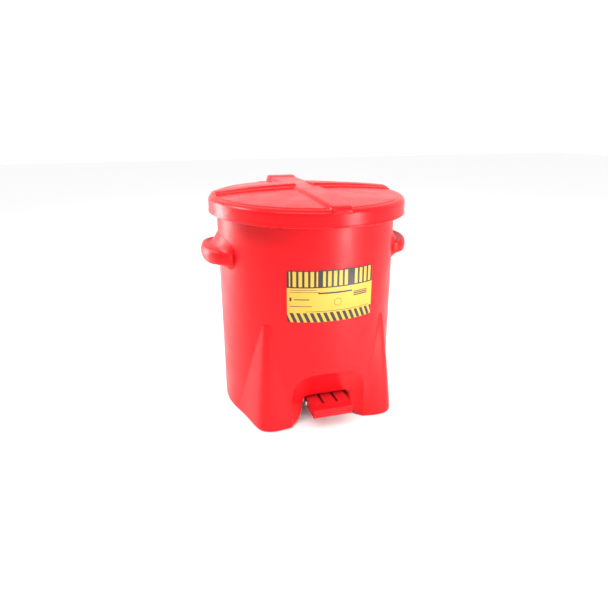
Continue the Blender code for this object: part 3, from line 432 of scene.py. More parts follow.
def carrying_lug(side):
    """A plump lug with a saddle on top and a finger hollow open from below."""
    stations = 56
    rows = []
    for k in range(stations + 1):
        place = -HANDLE_HALF_ANGLE * math.cos(math.pi * k / stations) * 0.9985
        share = max(0.0, 1 - abs(place / HANDLE_HALF_ANGLE) ** 2.6) ** 0.5
        reach = HANDLE_REACH * share
        open_share = float(smooth_step((19.5 - abs(place)) / 6.0))
        tall = 0.40 + 0.60 * share

        def lift(z):
            return HANDLE_MIDDLE_Z + (z - HANDLE_MIDDLE_Z) * tall

        solid = [(0.92, 0.2812), (0.80, 0.2790), (0.62, 0.2770)]
        solid += [(0.44, 0.2745), (0.26, 0.2712), (0.10, 0.2665)]
        hollow = [(0.90, 0.2806), (0.80, 0.2800), (0.715, 0.2830)]
        hollow += [(0.69, 0.2920), (0.52, 0.2968), (0.16, 0.2960)]
        ring = [(-0.0030, lift(0.3270)), (-0.0004, lift(0.3250)), (0.0008 + reach * 0.03, lift(0.3215))]
        for out, z in ((0.16, 0.3160), (0.34, 0.3078), (0.52, 0.3034), (0.72, 0.3072), (0.89, 0.3052)):
            ring.append((reach * out, lift(z)))
        for out, z in ((0.98, 0.2985), (1.00, 0.2930), (0.98, 0.2870)):
            ring.append((reach * out, lift(z)))
        for (out_a, z_a), (out_b, z_b) in zip(solid, hollow):
            out = out_a + (out_b - out_a) * open_share
            ring.append((reach * out, lift(z_a + (z_b - z_a) * open_share)))
        closed_root, open_root = 0.2630, 0.2930
        root = closed_root + (open_root - closed_root) * open_share
        ring.append((-0.0004, lift(root + 0.0006)))
        ring.append((-0.0030, lift(root)))
        loop = rounded_loop(ring, len(ring) * 3)
        turn = math.radians(place)
        radius = side * (CAN_RADIUS + loop[:, 0])
        rows.append(np.stack([radius * math.cos(turn), radius * math.sin(turn), loop[:, 1]], axis=1))
    return np.concatenate(rows), grid_faces(len(rows), len(rows[0]), caps=True)


HINGE_Y, HINGE_Z = 0.181, 0.372
HINGE_PIN_RADIUS = 0.0040
HINGE_KNUCKLE_RADIUS = 0.0082


def arc(u, v, radius, start, end, steps):
    """2-D points on an arc, angles in degrees."""
    turns = np.radians(np.linspace(start, end, steps + 1))
    return [(u + radius * math.cos(t), v + radius * math.sin(t)) for t in turns]


def plate(outline, holes, place, low, high):
    """Points and faces of a flat plate with holes. place puts (u, v, thickness) into space."""
    bm = bmesh.new()
    sheets = ([], [])
    for loop in [outline] + list(holes):
        for sheet, level in zip(sheets, (low, high)):
            sheet.append([bm.verts.new(place(u, v, level)) for u, v in loop])
    for sheet in sheets:
        edges = [bm.edges.new((loop[i - 1], loop[i])) for loop in sheet for i in range(len(loop))]
        bmesh.ops.triangle_fill(bm, use_beauty=True, use_dissolve=False, edges=edges)
    for under, over in zip(*sheets):
        for i in range(len(under)):
            bm.faces.new((under[i - 1], under[i], over[i], over[i - 1]))
    bmesh.ops.recalc_face_normals(bm, faces=bm.faces)
    bmesh.ops.dissolve_limit(bm, angle_limit=0.001, verts=bm.verts, edges=bm.edges)
    bm.verts.index_update()
    points = [tuple(v.co) for v in bm.verts]
    faces = [[v.index for v in f.verts] for f in bm.faces]
    bm.free()
    return points, faces


def on_yz(u, v, w):
    return (w, u, v)


def on_xz(u, v, w):
    return (u, w, v)


def on_xy(u, v, w):
    return (u, v, w)


def circle(u, v, radius, steps=40):
    """A closed 2-D circle."""
    return arc(u, v, radius, 0, 360 - 360 / steps, steps - 1)


lugs = [carrying_lug(1), carrying_lug(-1)]
add_piece("can_moulding", [can_shell()], can_red, "can", ["body"], sharp=60)
add_piece("carrying_lugs", lugs, can_red, "can", ["body"], sharp=60)

lug_outline = [(0.1510, 0.3770), (0.1600, 0.3795), (0.1700, 0.3802)]
lug_outline += arc(HINGE_Y, HINGE_Z, HINGE_KNUCKLE_RADIUS, 90, -90, 24)
lug_outline += [(0.1710, 0.3637), (0.1655, 0.3585), (0.1600, 0.3500), (0.1510, 0.3400)]
hinge_hole = circle(HINGE_Y, HINGE_Z, HINGE_PIN_RADIUS + 0.0001)
lug_width = 0.012
lug_plates = [plate(lug_outline, [hinge_hole], on_yz, low, low + lug_width) for low in (-0.042, 0.030)]
add_piece("can_hinge_lugs", lug_plates, can_red, "can", ["body"], bevel=0.0008)


# ---- the label -------------------------------------------------------------------------------------
# A printed vinyl film bent round the front of the can and bonded flat. Its print is plain marks only:
# bars in the top band, ruled lines in the field, and slanted stripes along the bottom.
label_low, label_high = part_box("label")
LABEL_INNER = CAN_RADIUS + 0.0003
LABEL_THICK = 0.0008
LABEL_HALF_ARC = 0.0755


def label_material():
    """Satin vinyl with a black band, bars, rules, a ring and stripes, worked out from the film's own UVs."""
    mat = bpy.data.materials.new("label_print")
    mat.use_nodes = True
    nodes = mat.node_tree.nodes
    links = mat.node_tree.links
    shader = nodes["Principled BSDF"]
    uv = nodes.new("ShaderNodeUVMap")
    uv.uv_map = "print"
    split = nodes.new("ShaderNodeSeparateXYZ")
    links.new(uv.outputs["UV"], split.inputs["Vector"])
    across, up = split.outputs["X"], split.outputs["Y"]

    def maths(operation, a, b=None, c=None):
        node = nodes.new("ShaderNodeMath")
        node.operation = operation
        for socket, value in zip(node.inputs, (a, b, c)):
            if value is None:
                continue
            if isinstance(value, (int, float)):
                socket.default_value = value
            else:
                links.new(value, socket)
        return node.outputs["Value"]

    def between(value, low, high):
        return maths("MULTIPLY", maths("GREATER_THAN", value, low), maths("LESS_THAN", value, high))

    def block(x0, x1, y0, y1):
        return maths("MULTIPLY", between(across, x0, x1), between(up, y0, y1))

    def add(*masks):
        total = masks[0]
        for mask in masks[1:]:
            total = maths("MAXIMUM", total, mask)
        return total

    band = block(0.0, 0.151, 0.0580, 0.0871)
    bar_pitch = 0.0094
    bar_place = maths("FRACT", maths("MULTIPLY", across, 1 / bar_pitch))
    bars = maths("MULTIPLY", maths("LESS_THAN", bar_place, 0.60), between(up, 0.0602, 0.0852))
    bar_spans = ((0.0035, 0.0495), (0.0575, 0.1015), (0.1100, 0.1480))
    bar_groups = add(*(block(x0, x1, 0, 0.087) for x0, x1 in bar_spans))
    bars = maths("MULTIPLY", bars, bar_groups)
    black_band = maths("MULTIPLY", band, maths("SUBTRACT", 1.0, bars))
    stripe_place = maths("MULTIPLY_ADD", up, 0.45, across)
    stripe_pitch = 0.01085
    stripe = maths("LESS_THAN", maths("FRACT", maths("MULTIPLY", stripe_place, 1 / stripe_pitch)), 0.56)
    stripes = maths("MULTIPLY", stripe, between(up, -0.001, 0.0162))
    rules = add(
        block(0.0040, 0.0480, 0.0544, 0.0552),
        block(0.0040, 0.0520, 0.0508, 0.0516),
        block(0.0500, 0.1080, 0.0478, 0.0506),
        block(0.0040, 0.0075, 0.0360, 0.0425),
        block(0.0110, 0.0360, 0.0380, 0.0397),
        block(0.0040, 0.0400, 0.0268, 0.0280),
        block(0.0300, 0.1440, 0.0180, 0.0189),
    )
    ring_x = maths("SUBTRACT", across, 0.0830)
    ring_y = maths("SUBTRACT", up, 0.0330)
    ring_distance = maths("SQRT", maths("ADD", maths("POWER", ring_x, 2.0), maths("POWER", ring_y, 2.0)))
    ring = between(ring_distance, 0.0056, 0.0064)
    patch_x = maths("ABSOLUTE", maths("SUBTRACT", across, 0.1250))
    patch = maths("MULTIPLY", maths("LESS_THAN", patch_x, 0.0140), between(up, 0.0395, 0.0475))
    patch_pitch = 0.0032
    patch_gap = between(maths("FRACT", maths("MULTIPLY", up, 1 / patch_pitch)), 0.0, 0.34)
    patch = maths("MULTIPLY", patch, maths("SUBTRACT", 1.0, patch_gap))
    ink = add(black_band, stripes, rules, ring, patch)
    coords = nodes.new("ShaderNodeTexCoord")
    fade = ranged(nodes, links, noise(nodes, links, coords, 60.0), 0.0, 0.5)
    yellow = nodes.new("ShaderNodeMix")
    yellow.data_type = "RGBA"
    yellow.inputs["A"].default_value = (0.57, 0.335, 0.032, 1)
    yellow.inputs["B"].default_value = (0.53, 0.310, 0.034, 1)
    links.new(fade, yellow.inputs["Factor"])
    colour = nodes.new("ShaderNodeMix")
    colour.data_type = "RGBA"
    links.new(ink, colour.inputs["Factor"])
    links.new(yellow.outputs["Result"], colour.inputs["A"])
    colour.inputs["B"].default_value = (0.022, 0.017, 0.020, 1)
    links.new(colour.outputs["Result"], shader.inputs["Base Color"])
    links.new(ranged(nodes, links, noise(nodes, links, coords, 45.0), 0.50, 0.58), shader.inputs["Roughness"])
    film = nodes.new("ShaderNodeBump")
    film.inputs["Strength"].default_value = 0.06
    film.inputs["Distance"].default_value = 0.0003
    links.new(noise(nodes, links, coords, 300.0), film.inputs["Height"])
    links.new(film.outputs["Normal"], shader.inputs["Normal"])
    return mat


def label_film():
    """The bent sheet with slightly rounded corners; its print coordinates in metres are added once it is
    made.
    """
    steps = 60
    radius = 0.0022
    edge = 0.0003
    low, high = label_low[2], label_high[2]
    rows = []
    for k in range(steps + 1):
        s = LABEL_HALF_ARC * (2 * k / steps - 1)
        past = max(0.0, abs(s) - (LABEL_HALF_ARC - radius))
        trim = radius - math.sqrt(max(0.0, radius**2 - past**2))
        turn = s / LABEL_INNER
        column = []
        for r, z in (
            (LABEL_INNER, low + trim),
            (LABEL_INNER + LABEL_THICK - edge, low + trim),
            (LABEL_INNER + LABEL_THICK, low + trim + edge),
            (LABEL_INNER + LABEL_THICK, high - trim - edge),
            (LABEL_INNER + LABEL_THICK - edge, high - trim),
            (LABEL_INNER, high - trim),
        ):
            column.append((r * math.sin(turn), -r * math.cos(turn), z))
        rows.append(column)
    points = [p for row in rows for p in row]
    return points, grid_faces(len(rows), 6, caps=True)


printed_vinyl = label_material()
label = add_piece("label_film", [label_film()], printed_vinyl, "can", ["label"], sharp=50)
print_map = label.data.uv_layers.new(name="print")
for loop in label.data.loops:
    x, y, z = label.data.vertices[loop.vertex_index].co
    print_map.data[loop.index].uv = (math.atan2(x, -y) * LABEL_INNER + LABEL_HALF_ARC, z - label_low[2])


# ---- the lid ---------------------------------------------------------------------------------------
# One domed moulding in the same red plastic. A raised band runs from the front edge to the hinge
# housing, and a two-step ridge crosses it. Ears inside the housing take the hinge pin.
LID_HALF_WIDTH = 0.172
LID_HALF_LENGTH = 0.192
LID_WALL = 0.0045
LID_EDGE_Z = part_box("lid")[0][2]
LID_RIM_Z = 0.3875
LID_CROWN = 0.0090
LID_RIM_ROUND = 0.0085
LID_SKIRT_INSET = 0.0008
TAB_HALF_WIDTH = 0.058
TAB_BACK_Y = 0.195
RIDGE_RISE = 0.0074
BOSS_Z = 0.3822

lid_red = moulded_plastic("lid_red_plastic", (0.58, 0.003, 0.006), (0.64, 0.006, 0.010), 0.29, 0.05)


def lid_plan(inset):
    """The lid's outline from above: an oval with a square hinge housing at the back."""
    half_x = LID_HALF_WIDTH - inset
    half_y = LID_HALF_LENGTH - inset
    tab_x = TAB_HALF_WIDTH - inset
    tab_y = TAB_BACK_Y - inset
    root = math.acos(tab_x / half_x)
    turns = root - (math.pi + 2 * root) * np.arange(301) / 300
    points = [(half_x * math.cos(t), half_y * math.sin(t)) for t in turns]
    corner = max(0.0012, 0.007 - inset / 2)
    points += arc(-tab_x + corner, tab_y - corner, corner, 180, 90, 8)
    for k in range(1, 24):
        points.append((-tab_x + corner + (2 * tab_x - 2 * corner) * k / 24, tab_y))
    points += arc(tab_x - corner, tab_y - corner, corner, 90, 0, 8)
    return np.array(points)


def lid_height(x, y):
    """The height of the lid's outside away from its rounded edge."""
    share = (x / LID_HALF_WIDTH) ** 2 + (y / LID_HALF_LENGTH) ** 2
    return LID_RIM_Z + LID_CROWN * (1 - np.minimum(1.0, share))


def lid_shell():
    """The dome and its skirt, with a rounded rim and a small bead along the lower edge."""
    rows = []

    def crown_ring(inset, drop, share=1.0):
        xy = lid_plan(inset) * share
        rows.append(np.column_stack([xy, lid_height(xy[:, 0], xy[:, 1]) - drop]))

    def level_ring(inset, z):
        xy = lid_plan(inset)
        rows.append(np.column_stack([xy, np.full(len(xy), z)]))

    for share in (0.02, 0.2, 0.4, 0.6, 0.8, 0.94):
        crown_ring(LID_WALL + 0.005, LID_WALL, share)
    for inset, z in ((0.0065, 0.3826), (0.0052, 0.3812), (LID_WALL, 0.3785), (LID_WALL, 0.3700)):
        level_ring(inset, z)
    level_ring(LID_WALL, LID_EDGE_Z + 0.0010)
    level_ring(LID_WALL - 0.0010, LID_EDGE_Z)
    level_ring(0.0012, LID_EDGE_Z)
    bead = ((0.0003, 0.0004), (0.0, 0.0013), (0.0001, 0.0024), (0.0009, 0.0034), (0.0011, 0.0042))
    for inset, dz in bead:
        level_ring(inset, LID_EDGE_Z + dz)
    for z in (0.3680, 0.3720, 0.3760, 0.3780):
        level_ring(LID_SKIRT_INSET, z)
    rim = LID_RIM_ROUND
    rim_top = 0.3872
    for k in range(1, 11):
        bend = math.pi / 2 * k / 10
        level_ring(LID_SKIRT_INSET + rim * (1 - math.cos(bend)), rim_top - rim + rim * math.sin(bend))
    level_ring(0.0106, 0.3873)
    level_ring(0.0114, 0.3876)
    level_ring(0.0122, 0.3884)
    crown_ring(0.0132, 0.0)
    panel_inset = 0.0140
    for share in (0.985, 0.96, 0.92, 0.86, 0.78, 0.7, 0.6, 0.5, 0.4, 0.3, 0.2, 0.1, 0.02):
        crown_ring(panel_inset, 0, share)
    return np.concatenate(rows), grid_faces(len(rows), len(rows[0]), caps=True)


def resample(path, count):
    """A smooth open curve through a few stations, as count rows."""
    pts = np.array(path, float)
    padded = np.vstack([2 * pts[0] - pts[1], pts, 2 * pts[-1] - pts[-2]])
    out = []
    for s in np.linspace(0, len(pts) - 1, count):
        i = min(int(s), len(pts) - 2)
        p0, p1, p2, p3 = padded[i : i + 4]
        out.append(smooth_between(p0, p1, p2, p3, s - i))
    return np.array(out)


def centre_band():
    """The band: each station gives y, top z, half width, flank width, and the y and z of its foot."""
    stations = [
        (-0.1895, 0.3785, 0.0172, 0.0030, -0.1872, 0.3785),
        (-0.1908, 0.3805, 0.0168, 0.0036, -0.1876, 0.3805),
        (-0.1916, 0.3835, 0.0162, 0.0042, -0.1876, 0.3825),
        (-0.1908, 0.3870, 0.0160, 0.0046, -0.1862, 0.3846),
        (-0.1880, 0.3903, 0.0166, 0.0050, -0.1830, 0.3862),
        (-0.1800, 0.3926, 0.0174, 0.0056, -0.1780, 0.3872),
        (-0.1500, 0.3952, 0.0190, 0.0064, -0.1500, 0.3892),
        (-0.0800, 0.3988, 0.0210, 0.0068, -0.0800, 0.3935),
        (0.0, 0.4000, 0.0230, 0.0064, 0.0, 0.3950),
        (0.0700, 0.3994, 0.0250, 0.0052, 0.0700, 0.3938),
        (0.1400, 0.3982, 0.0268, 0.0040, 0.1400, 0.3892),
        (0.1560, 0.3984, 0.0276, 0.0046, 0.1560, 0.3880),
        (0.1640, 0.4001, 0.0278, 0.0054, 0.1630, 0.3875),
        (0.1740, 0.4008, 0.0276, 0.0060, 0.1720, 0.3870),
        (0.1850, 0.4002, 0.0274, 0.0060, 0.1810, 0.3860),
        (0.1910, 0.3975, 0.0270, 0.0052, 0.1865, 0.3855),
        (0.1930, 0.3915, 0.0268, 0.0040, 0.1890, 0.3850),
    ]
    flank_curve = ((1.30, -0.36), (1.1, -0.10), (0.85, 0.16), (0.55, 0.48), (0.25, 0.81), (0.08, 0.95))
    shoulder = 0.65
    rows = []
    for y, z, half, flank, foot_y, foot_z in resample(stations, 120):
        ring = [(-half - flank * (across - 1 + shoulder), blend) for across, blend in flank_curve]
        ring.append((-half + flank * shoulder, 1.0))
        ring += [(across * (half - flank * shoulder), 1.0) for across in (-0.5, 0.0)]
        ring += [(-x, blend) for x, blend in reversed(ring[:-1])]
        dy, dz = y - foot_y, z - foot_z
        rows.append([(x, foot_y + dy * blend, foot_z + dz * blend) for x, blend in ring])
    points = np.concatenate([np.array(row) for row in rows])
    return points, grid_faces(len(rows), len(rows[0]), caps=True)


def cross_ridge(side):
    """One half of the ridge: a low step, a narrow ledge, the tall step, and a long fall to the back."""
    outer_xs = (0.1600, 0.1580, 0.1500, 0.1400, 0.1200, 0.1000)
    inner_xs = (0.0800, 0.0600, 0.0400, 0.0250, 0.0170, 0.0160)
    back_fall_y = 0.030
    stations = []
    for x in outer_xs + inner_xs:
        end = 1.0 if 0.0165 < x < 0.1585 else 0.75
        surface = float(lid_height(x, 0))
        top = surface + (RIDGE_RISE - 0.0019 * (x / 0.157) ** 2) * end
        far = 0.165 * (1 - (x / LID_HALF_WIDTH) ** 2) ** 0.5
        ring = [
            (-0.0098, surface - 0.0016),
            (-0.0090, surface + 0.0002),
            (-0.0082, surface + 0.0013 * end),
            (-0.0074, surface + 0.0016 * end),
            (-0.0030, surface + 0.0027 * end),
            (0.0008, surface + 0.0038 * end),
            (0.0016, surface + 0.0043 * end),
            (0.0024, top - 0.0015),
            (0.0034, top - 0.0010),
            (0.0060, top - 0.0007),
            (0.0160, top),
            (back_fall_y, top - 0.0009),
        ]
        for t in (0.45, 0.7, 0.9, 1.0):
            y = back_fall_y + (far - back_fall_y) * t
            ground = float(lid_height(x, y))
            ring.append((y, ground - 0.0012 + (top - surface) * (1 - t) ** 1.15))
        ring.append((far, float(lid_height(x, far)) - 0.0024))
        ring.append((0.0, surface - 0.0028))
        stations.append([(side * x, y, z) for y, z in ring])
    points = [p for row in stations for p in row]
    return points, grid_faces(len(stations), len(stations[0]), caps=True)


ridges = [cross_ridge(1), cross_ridge(-1)]
add_piece("lid_moulding", [lid_shell()], lid_red, "lid", ["lid"], sharp=60)
add_piece("lid_band", [centre_band()], lid_red, "lid", ["lid"], sharp=60)
add_piece("lid_ridges", ridges, lid_red, "lid", ["lid"], sharp=42)

ear_outline = [(0.1920, 0.3845), (0.1700, 0.3845), (0.1725, 0.3700)]
ear_outline += arc(HINGE_Y, HINGE_Z, HINGE_KNUCKLE_RADIUS, 200, 300, 14)
ear_outline += [(0.1920, 0.3632)]
ear_hole = circle(HINGE_Y, HINGE_Z, HINGE_PIN_RADIUS + 0.0003)
ear_width = 0.0115
ears = [plate(ear_outline, [ear_hole], on_yz, low, low + ear_width) for low in (-0.0545, 0.0430)]
boss_outline = [(-0.022, 0.1665), (0.022, 0.1665), (0.022, 0.1880), (-0.022, 0.1880)]
boss_root_z = 0.3862
ears.append(plate(boss_outline, [], on_xy, BOSS_Z, boss_root_z))
add_piece("lid_ears_and_boss", ears, lid_red, "lid", ["lid"], bevel=0.0006)


# ---- hinge pin and lift bracket --------------------------------------------------------------------
# The pin is ground steel, held by a clip inside each can lug. The bracket is zinc-plated sheet,
# screwed to a boss under the housing, and its open slot rides on the lift rod's top pin.
HINGE = (0, HINGE_Y, HINGE_Z)
LIFT_ARM = HINGE_Y - 0.165
HALF_OPENING = math.radians(30)
HALF_STROKE = LIFT_ARM * math.tan(HALF_OPENING)
TOP_PIN_Z = HINGE_Z - HALF_STROKE
GAP = 0.0003


def metal(name, colour, roughness, blotch, grain_stretch):
    """Plated or ground steel: blotched plating, directional grain, scattered dull spots."""
    mat = bpy.data.materials.new(name)
    mat.use_nodes = True
    nodes = mat.node_tree.nodes
    links = mat.node_tree.links
    shader = nodes["Principled BSDF"]
    shader.inputs["Metallic"].default_value = 1.0
    coords = nodes.new("ShaderNodeTexCoord")
    tint = nodes.new("ShaderNodeMix")
    tint.data_type = "RGBA"
    tint.inputs["A"].default_value = (*colour, 1)
    tint.inputs["B"].default_value = (colour[0] * 0.72, colour[1] * 0.73, colour[2] * 0.74, 1)
    blotches = noise(nodes, links, coords, 90.0, 5.0)
    links.new(ranged(nodes, links, blotches, 0.0, blotch), tint.inputs["Factor"])
    links.new(tint.outputs["Result"], shader.inputs["Base Color"])
    grain = noise(nodes, links, coords, 500.0, 3.0, grain_stretch)
    links.new(ranged(nodes, links, grain, roughness - 0.06, roughness + 0.12), shader.inputs["Roughness"])
    bump = nodes.new("ShaderNodeBump")
    bump.inputs["Strength"].default_value = 0.12
    bump.inputs["Distance"].default_value = 0.0002
    links.new(grain, bump.inputs["Height"])
    links.new(bump.outputs["Normal"], shader.inputs["Normal"])
    return mat


zinc = metal("zinc_plated_steel", (0.66, 0.67, 0.70), 0.38, 0.8, (1, 1, 1))
bright_steel = metal("ground_steel", (0.60, 0.60, 0.61), 0.26, 0.5, (1, 1, 0.05))
spring_steel = metal("blackened_spring_steel", (0.09, 0.09, 0.10), 0.42, 0.6, (1, 1, 1))


def turned(profile, axis, centre, segments=48, closed=False):
    """A turned shape: (along, radius) points swept round an axis."""
    turns = 2 * math.pi * np.arange(segments) / segments
    points = []
    for along, radius in profile:
        for t in turns:
            u, v = radius * math.cos(t), radius * math.sin(t)
            local = {"X": (along, u, v), "Y": (u, along, v), "Z": (u, v, along)}[axis]
            points.append(tuple(c + d for c, d in zip(centre, local)))
    if not closed:
        return points, grid_faces(len(profile), segments, caps=True)
    faces = grid_faces(len(profile), segments)
    last = (len(profile) - 1) * segments
    for k in range(segments):
        n = (k + 1) % segments
        faces.append([last + k, last + n, n, k])
    return points, faces


def spring_clip(centre, low, high, inner, outer):
    """An open retaining clip about an X axis."""
    outline = arc(centre[1], centre[2], outer, -60, 240, 36)
    outline += arc(centre[1], centre[2], inner, 240, -60, 36)
    return plate(outline, [], on_yz, low, high)


groove_radius = 0.0031
pin_profile = [(-0.0530, 0.0032), (-0.0522, HINGE_PIN_RADIUS)]
for clip_side in (-1, 1):
    ends = sorted((clip_side * 0.0297, clip_side * 0.0278))
    pin_profile += [(ends[0], HINGE_PIN_RADIUS), (ends[0], groove_radius)]
    pin_profile += [(ends[1], groove_radius), (ends[1], HINGE_PIN_RADIUS)]
pin_profile += [(0.0542, HINGE_PIN_RADIUS), (0.0550, 0.0032)]
hinge_pin = turned(pin_profile, "X", HINGE)
add_piece("hinge_pin_turned", [hinge_pin], bright_steel, "lid", ["hinge_pin"])
for clip_side, word in ((-1, "left"), (1, "right")):
    ends = sorted((clip_side * 0.0294, clip_side * 0.0281))
    clip = spring_clip(HINGE, ends[0], ends[1], 0.0034, 0.0066)
    node = "hinge_pin_clip_" + word
    add_piece(node + "_stamped", [clip], spring_steel, "lid", [node], bevel=0.0002)


LINK_PIN_RADIUS = 0.0025
SHEET_THICK = 0.0025
FLANGE_TOP = BOSS_Z - GAP
FLANGE_UNDER = FLANGE_TOP - SHEET_THICK


def lift_outline():
    """The slotted plate about the hinge axis, its open slot pointing at the link pin."""
    under = FLANGE_UNDER - HINGE_Z
    tip = LIFT_ARM + 0.0058
    slot_half = LINK_PIN_RADIUS + 0.0006
    inner = LIFT_ARM - LINK_PIN_RADIUS - 0.0004
    ux, uz = -math.cos(HALF_OPENING), -math.sin(HALF_OPENING)
    slip = math.degrees(math.asin(slot_half / tip))
    points = [(0.0070, under + 0.0005), (0.0080, -0.0040), (0.0030, -0.0085), (-0.0050, -0.0088)]
    points += arc(0, 0, tip - 0.0018, 228, 211 + slip, 10)
    points.append((inner * ux - slot_half * uz, inner * uz + slot_half * ux))
    points.append((inner * ux + slot_half * uz, inner * uz - slot_half * ux))
    points += arc(0, 0, tip, 210 - slip, 161, 14)
    points.append((-0.0195, under + 0.0005))
    return [(u + HINGE_Y, v + HINGE_Z) for u, v in points]


bracket_plate = plate(lift_outline(), [ear_hole], on_yz, -0.0020, 0.0020)


def rounded_rectangle(low, high, radius):
    """A closed 2-D rectangle with rounded corners."""
    points = arc(high[0] - radius, high[1] - radius, radius, 0, 90, 6)
    points += arc(low[0] + radius, high[1] - radius, radius, 90, 180, 6)
    points += arc(low[0] + radius, low[1] + radius, radius, 180, 270, 6)
    points += arc(high[0] - radius, low[1] + radius, radius, 270, 360, 6)
    return points


FLANGE_SCREW_X, FLANGE_SCREW_Y = 0.015, 0.178
SCREW_RADIUS = 0.0020
flange_outline = rounded_rectangle((-0.0215, 0.1672), (0.0215, 0.1875), 0.003)
flange_xs = (-FLANGE_SCREW_X, FLANGE_SCREW_X)
flange_holes = [circle(x, FLANGE_SCREW_Y, SCREW_RADIUS + GAP, 24) for x in flange_xs]
bracket_flange = plate(flange_outline, flange_holes, on_xy, FLANGE_UNDER, FLANGE_TOP)
bracket_parts = [bracket_plate, bracket_flange]
add_piece("lift_bracket_sheet", bracket_parts, zinc, "lid", ["lift_bracket"], bevel=0.0003)


def pan_screw(axis, centre, under_head, sign, length, head=0.0040):
    """A pan-head screw whose hexagon socket is drawn as a round recess, its shank running along sign."""
    tall = sign * 0.0026
    socket = [(0.30, 0.0001), (0.30, 0.0014), (0.98, 0.0015), (1.0, 0.0019)]
    crown = [(0.90, head * 0.66), (0.68, head * 0.86), (0.35, head * 0.97), (0.05, head)]
    profile = [(under_head - tall * share, radius) for share, radius in socket + crown]
    profile += [(under_head, head * 0.98), (under_head, SCREW_RADIUS)]
    profile += [(under_head + sign * (length - 0.0015), SCREW_RADIUS), (under_head + sign * length, 0.0007)]
    return turned(profile, axis, centre, 36)


def fit_screw(node, body, *shape):
    """One screw in place of its CAD node."""
    add_piece(node + "_turned", [pan_screw(*shape)], zinc, body, [node], sharp=30)


for x, word in zip(flange_xs, ("left", "right")):
    seat = (x, FLANGE_SCREW_Y, 0)
    fit_screw("lift_bracket_screw_" + word, "lid", "Z", seat, FLANGE_UNDER - GAP, 1, 0.0074, 0.0036)


# ---- lift rod --------------------------------------------------------------------------------------
# A ground steel rod behind the can, threaded at both ends into a fork and an eye, which lock nuts hold.
# Clevis pins with spring clips join it to the lid's bracket and to the lever.
ROD_Y = 0.165
REAR_PIN_Z = 0.034 - HALF_STROKE
ROD_TOP = TOP_PIN_Z - 0.0145
ROD_LOW = REAR_PIN_Z + 0.0095


ROD_RADIUS = 0.0030


def threaded_rod():
    """The rod, with shallow thread rings near its two ends."""
    chamfer = 0.0006
    end_radius = ROD_RADIUS - chamfer
    root_radius = 0.00268
    pitch = 0.0010
    profile = [(ROD_LOW, end_radius), (ROD_LOW + chamfer, ROD_RADIUS)]
    for start, count in ((ROD_LOW + 0.0010, 24), (ROD_TOP - 0.0270, 26)):
        for k in range(count):
            z = start + pitch * k
            profile += [(z, ROD_RADIUS), (z + 0.45 * pitch, root_radius), (z + 0.55 * pitch, root_radius)]
        profile.append((start + pitch * count, ROD_RADIUS))
    profile += [(ROD_TOP - chamfer, ROD_RADIUS), (ROD_TOP, end_radius)]
    return turned(profile, "Z", (0, ROD_Y, 0), 36)


add_piece("lift_rod_turned", [threaded_rod()], bright_steel, "rod", ["lift_rod"], sharp=30)

FORK_HALF = 0.0066
FORK_GAP_HALF = 0.0026
FORK_LOW = TOP_PIN_Z - 0.0260
fork_top = TOP_PIN_Z + 0.0060
fork_outline = [(-FORK_HALF, FORK_LOW), (FORK_HALF, FORK_LOW), (FORK_HALF, fork_top)]
fork_outline += [(FORK_GAP_HALF, fork_top), (FORK_GAP_HALF, TOP_PIN_Z - 0.0115)]
fork_outline += [(-x, z) for x, z in reversed(fork_outline[3:])] + [(-FORK_HALF, fork_top)]
fork = plate(fork_outline, [], on_xz, ROD_Y - 0.0055, ROD_Y + 0.0055)
add_piece("rod_top_fork_machined", [fork], zinc, "rod", ["rod_top_fork"], bevel=0.0007)

EYE_TOP = REAR_PIN_Z + 0.0190
eye_outline = [(-0.0055, EYE_TOP)] + arc(0, REAR_PIN_Z, 0.0072, 150, 390, 30)
eye_outline = [(ROD_Y + u, v) for u, v in eye_outline + [(0.0055, EYE_TOP)]]
eye_hole = circle(ROD_Y, REAR_PIN_Z, LINK_PIN_RADIUS + GAP)
eye = plate(eye_outline, [eye_hole], on_yz, -0.0093, 0.0093)
add_piece("rod_bottom_eye_machined", [eye], zinc, "rod", ["rod_bottom_eye"], bevel=0.0006)


def clevis_pin(centre, half):
    """A headed pin along X, grooved for its clip."""
    r = LINK_PIN_RADIUS
    groove = r - 0.0007
    profile = [(-half - 0.0021, 0.0022), (-half - 0.0019, 0.0034), (-half - 0.0012, 0.0042)]
    profile += [(-half - GAP, 0.0044), (-half - GAP, r), (half + GAP, r)]
    profile += [(half + GAP, groove), (half + 0.0016, groove), (half + 0.0016, r)]
    profile += [(half + 0.0028, r), (half + 0.0032, r - 0.0005)]
    return turned(profile, "X", centre, 36)


for word, z, half in (("top", TOP_PIN_Z, 0.0066), ("bottom", REAR_PIN_Z, 0.0147)):
    centre = (0, ROD_Y, z)
    pin = clevis_pin(centre, half)
    node = "rod_" + word + "_pin"
    add_piece(node + "_turned", [pin], bright_steel, "rod", [node], sharp=30)
    clip = spring_clip(centre, half + 2 * GAP, half + 0.0013, 0.0021, 0.0046)
    node = "rod_pin_clip_" + word
    add_piece(node + "_stamped", [clip], spring_steel, "rod", [node], bevel=0.00015)


def hexagon(u, v, across_flats):
    """A hexagon, by its width across flats."""
    return circle(u, v, across_flats / 2 / math.cos(math.pi / 6), 6)


nut_tall = 0.0050
for word, low in (("top", FORK_LOW - GAP - nut_tall), ("bottom", EYE_TOP + GAP)):
    nut_hole = circle(0, ROD_Y, ROD_RADIUS + GAP)
    nut = plate(hexagon(0, ROD_Y, 0.010), [nut_hole], on_xy, low, low + nut_tall)
    node = "rod_lock_nut_" + word
    add_piece(node + "_cut", [nut], zinc, "rod", [node], bevel=0.0005)


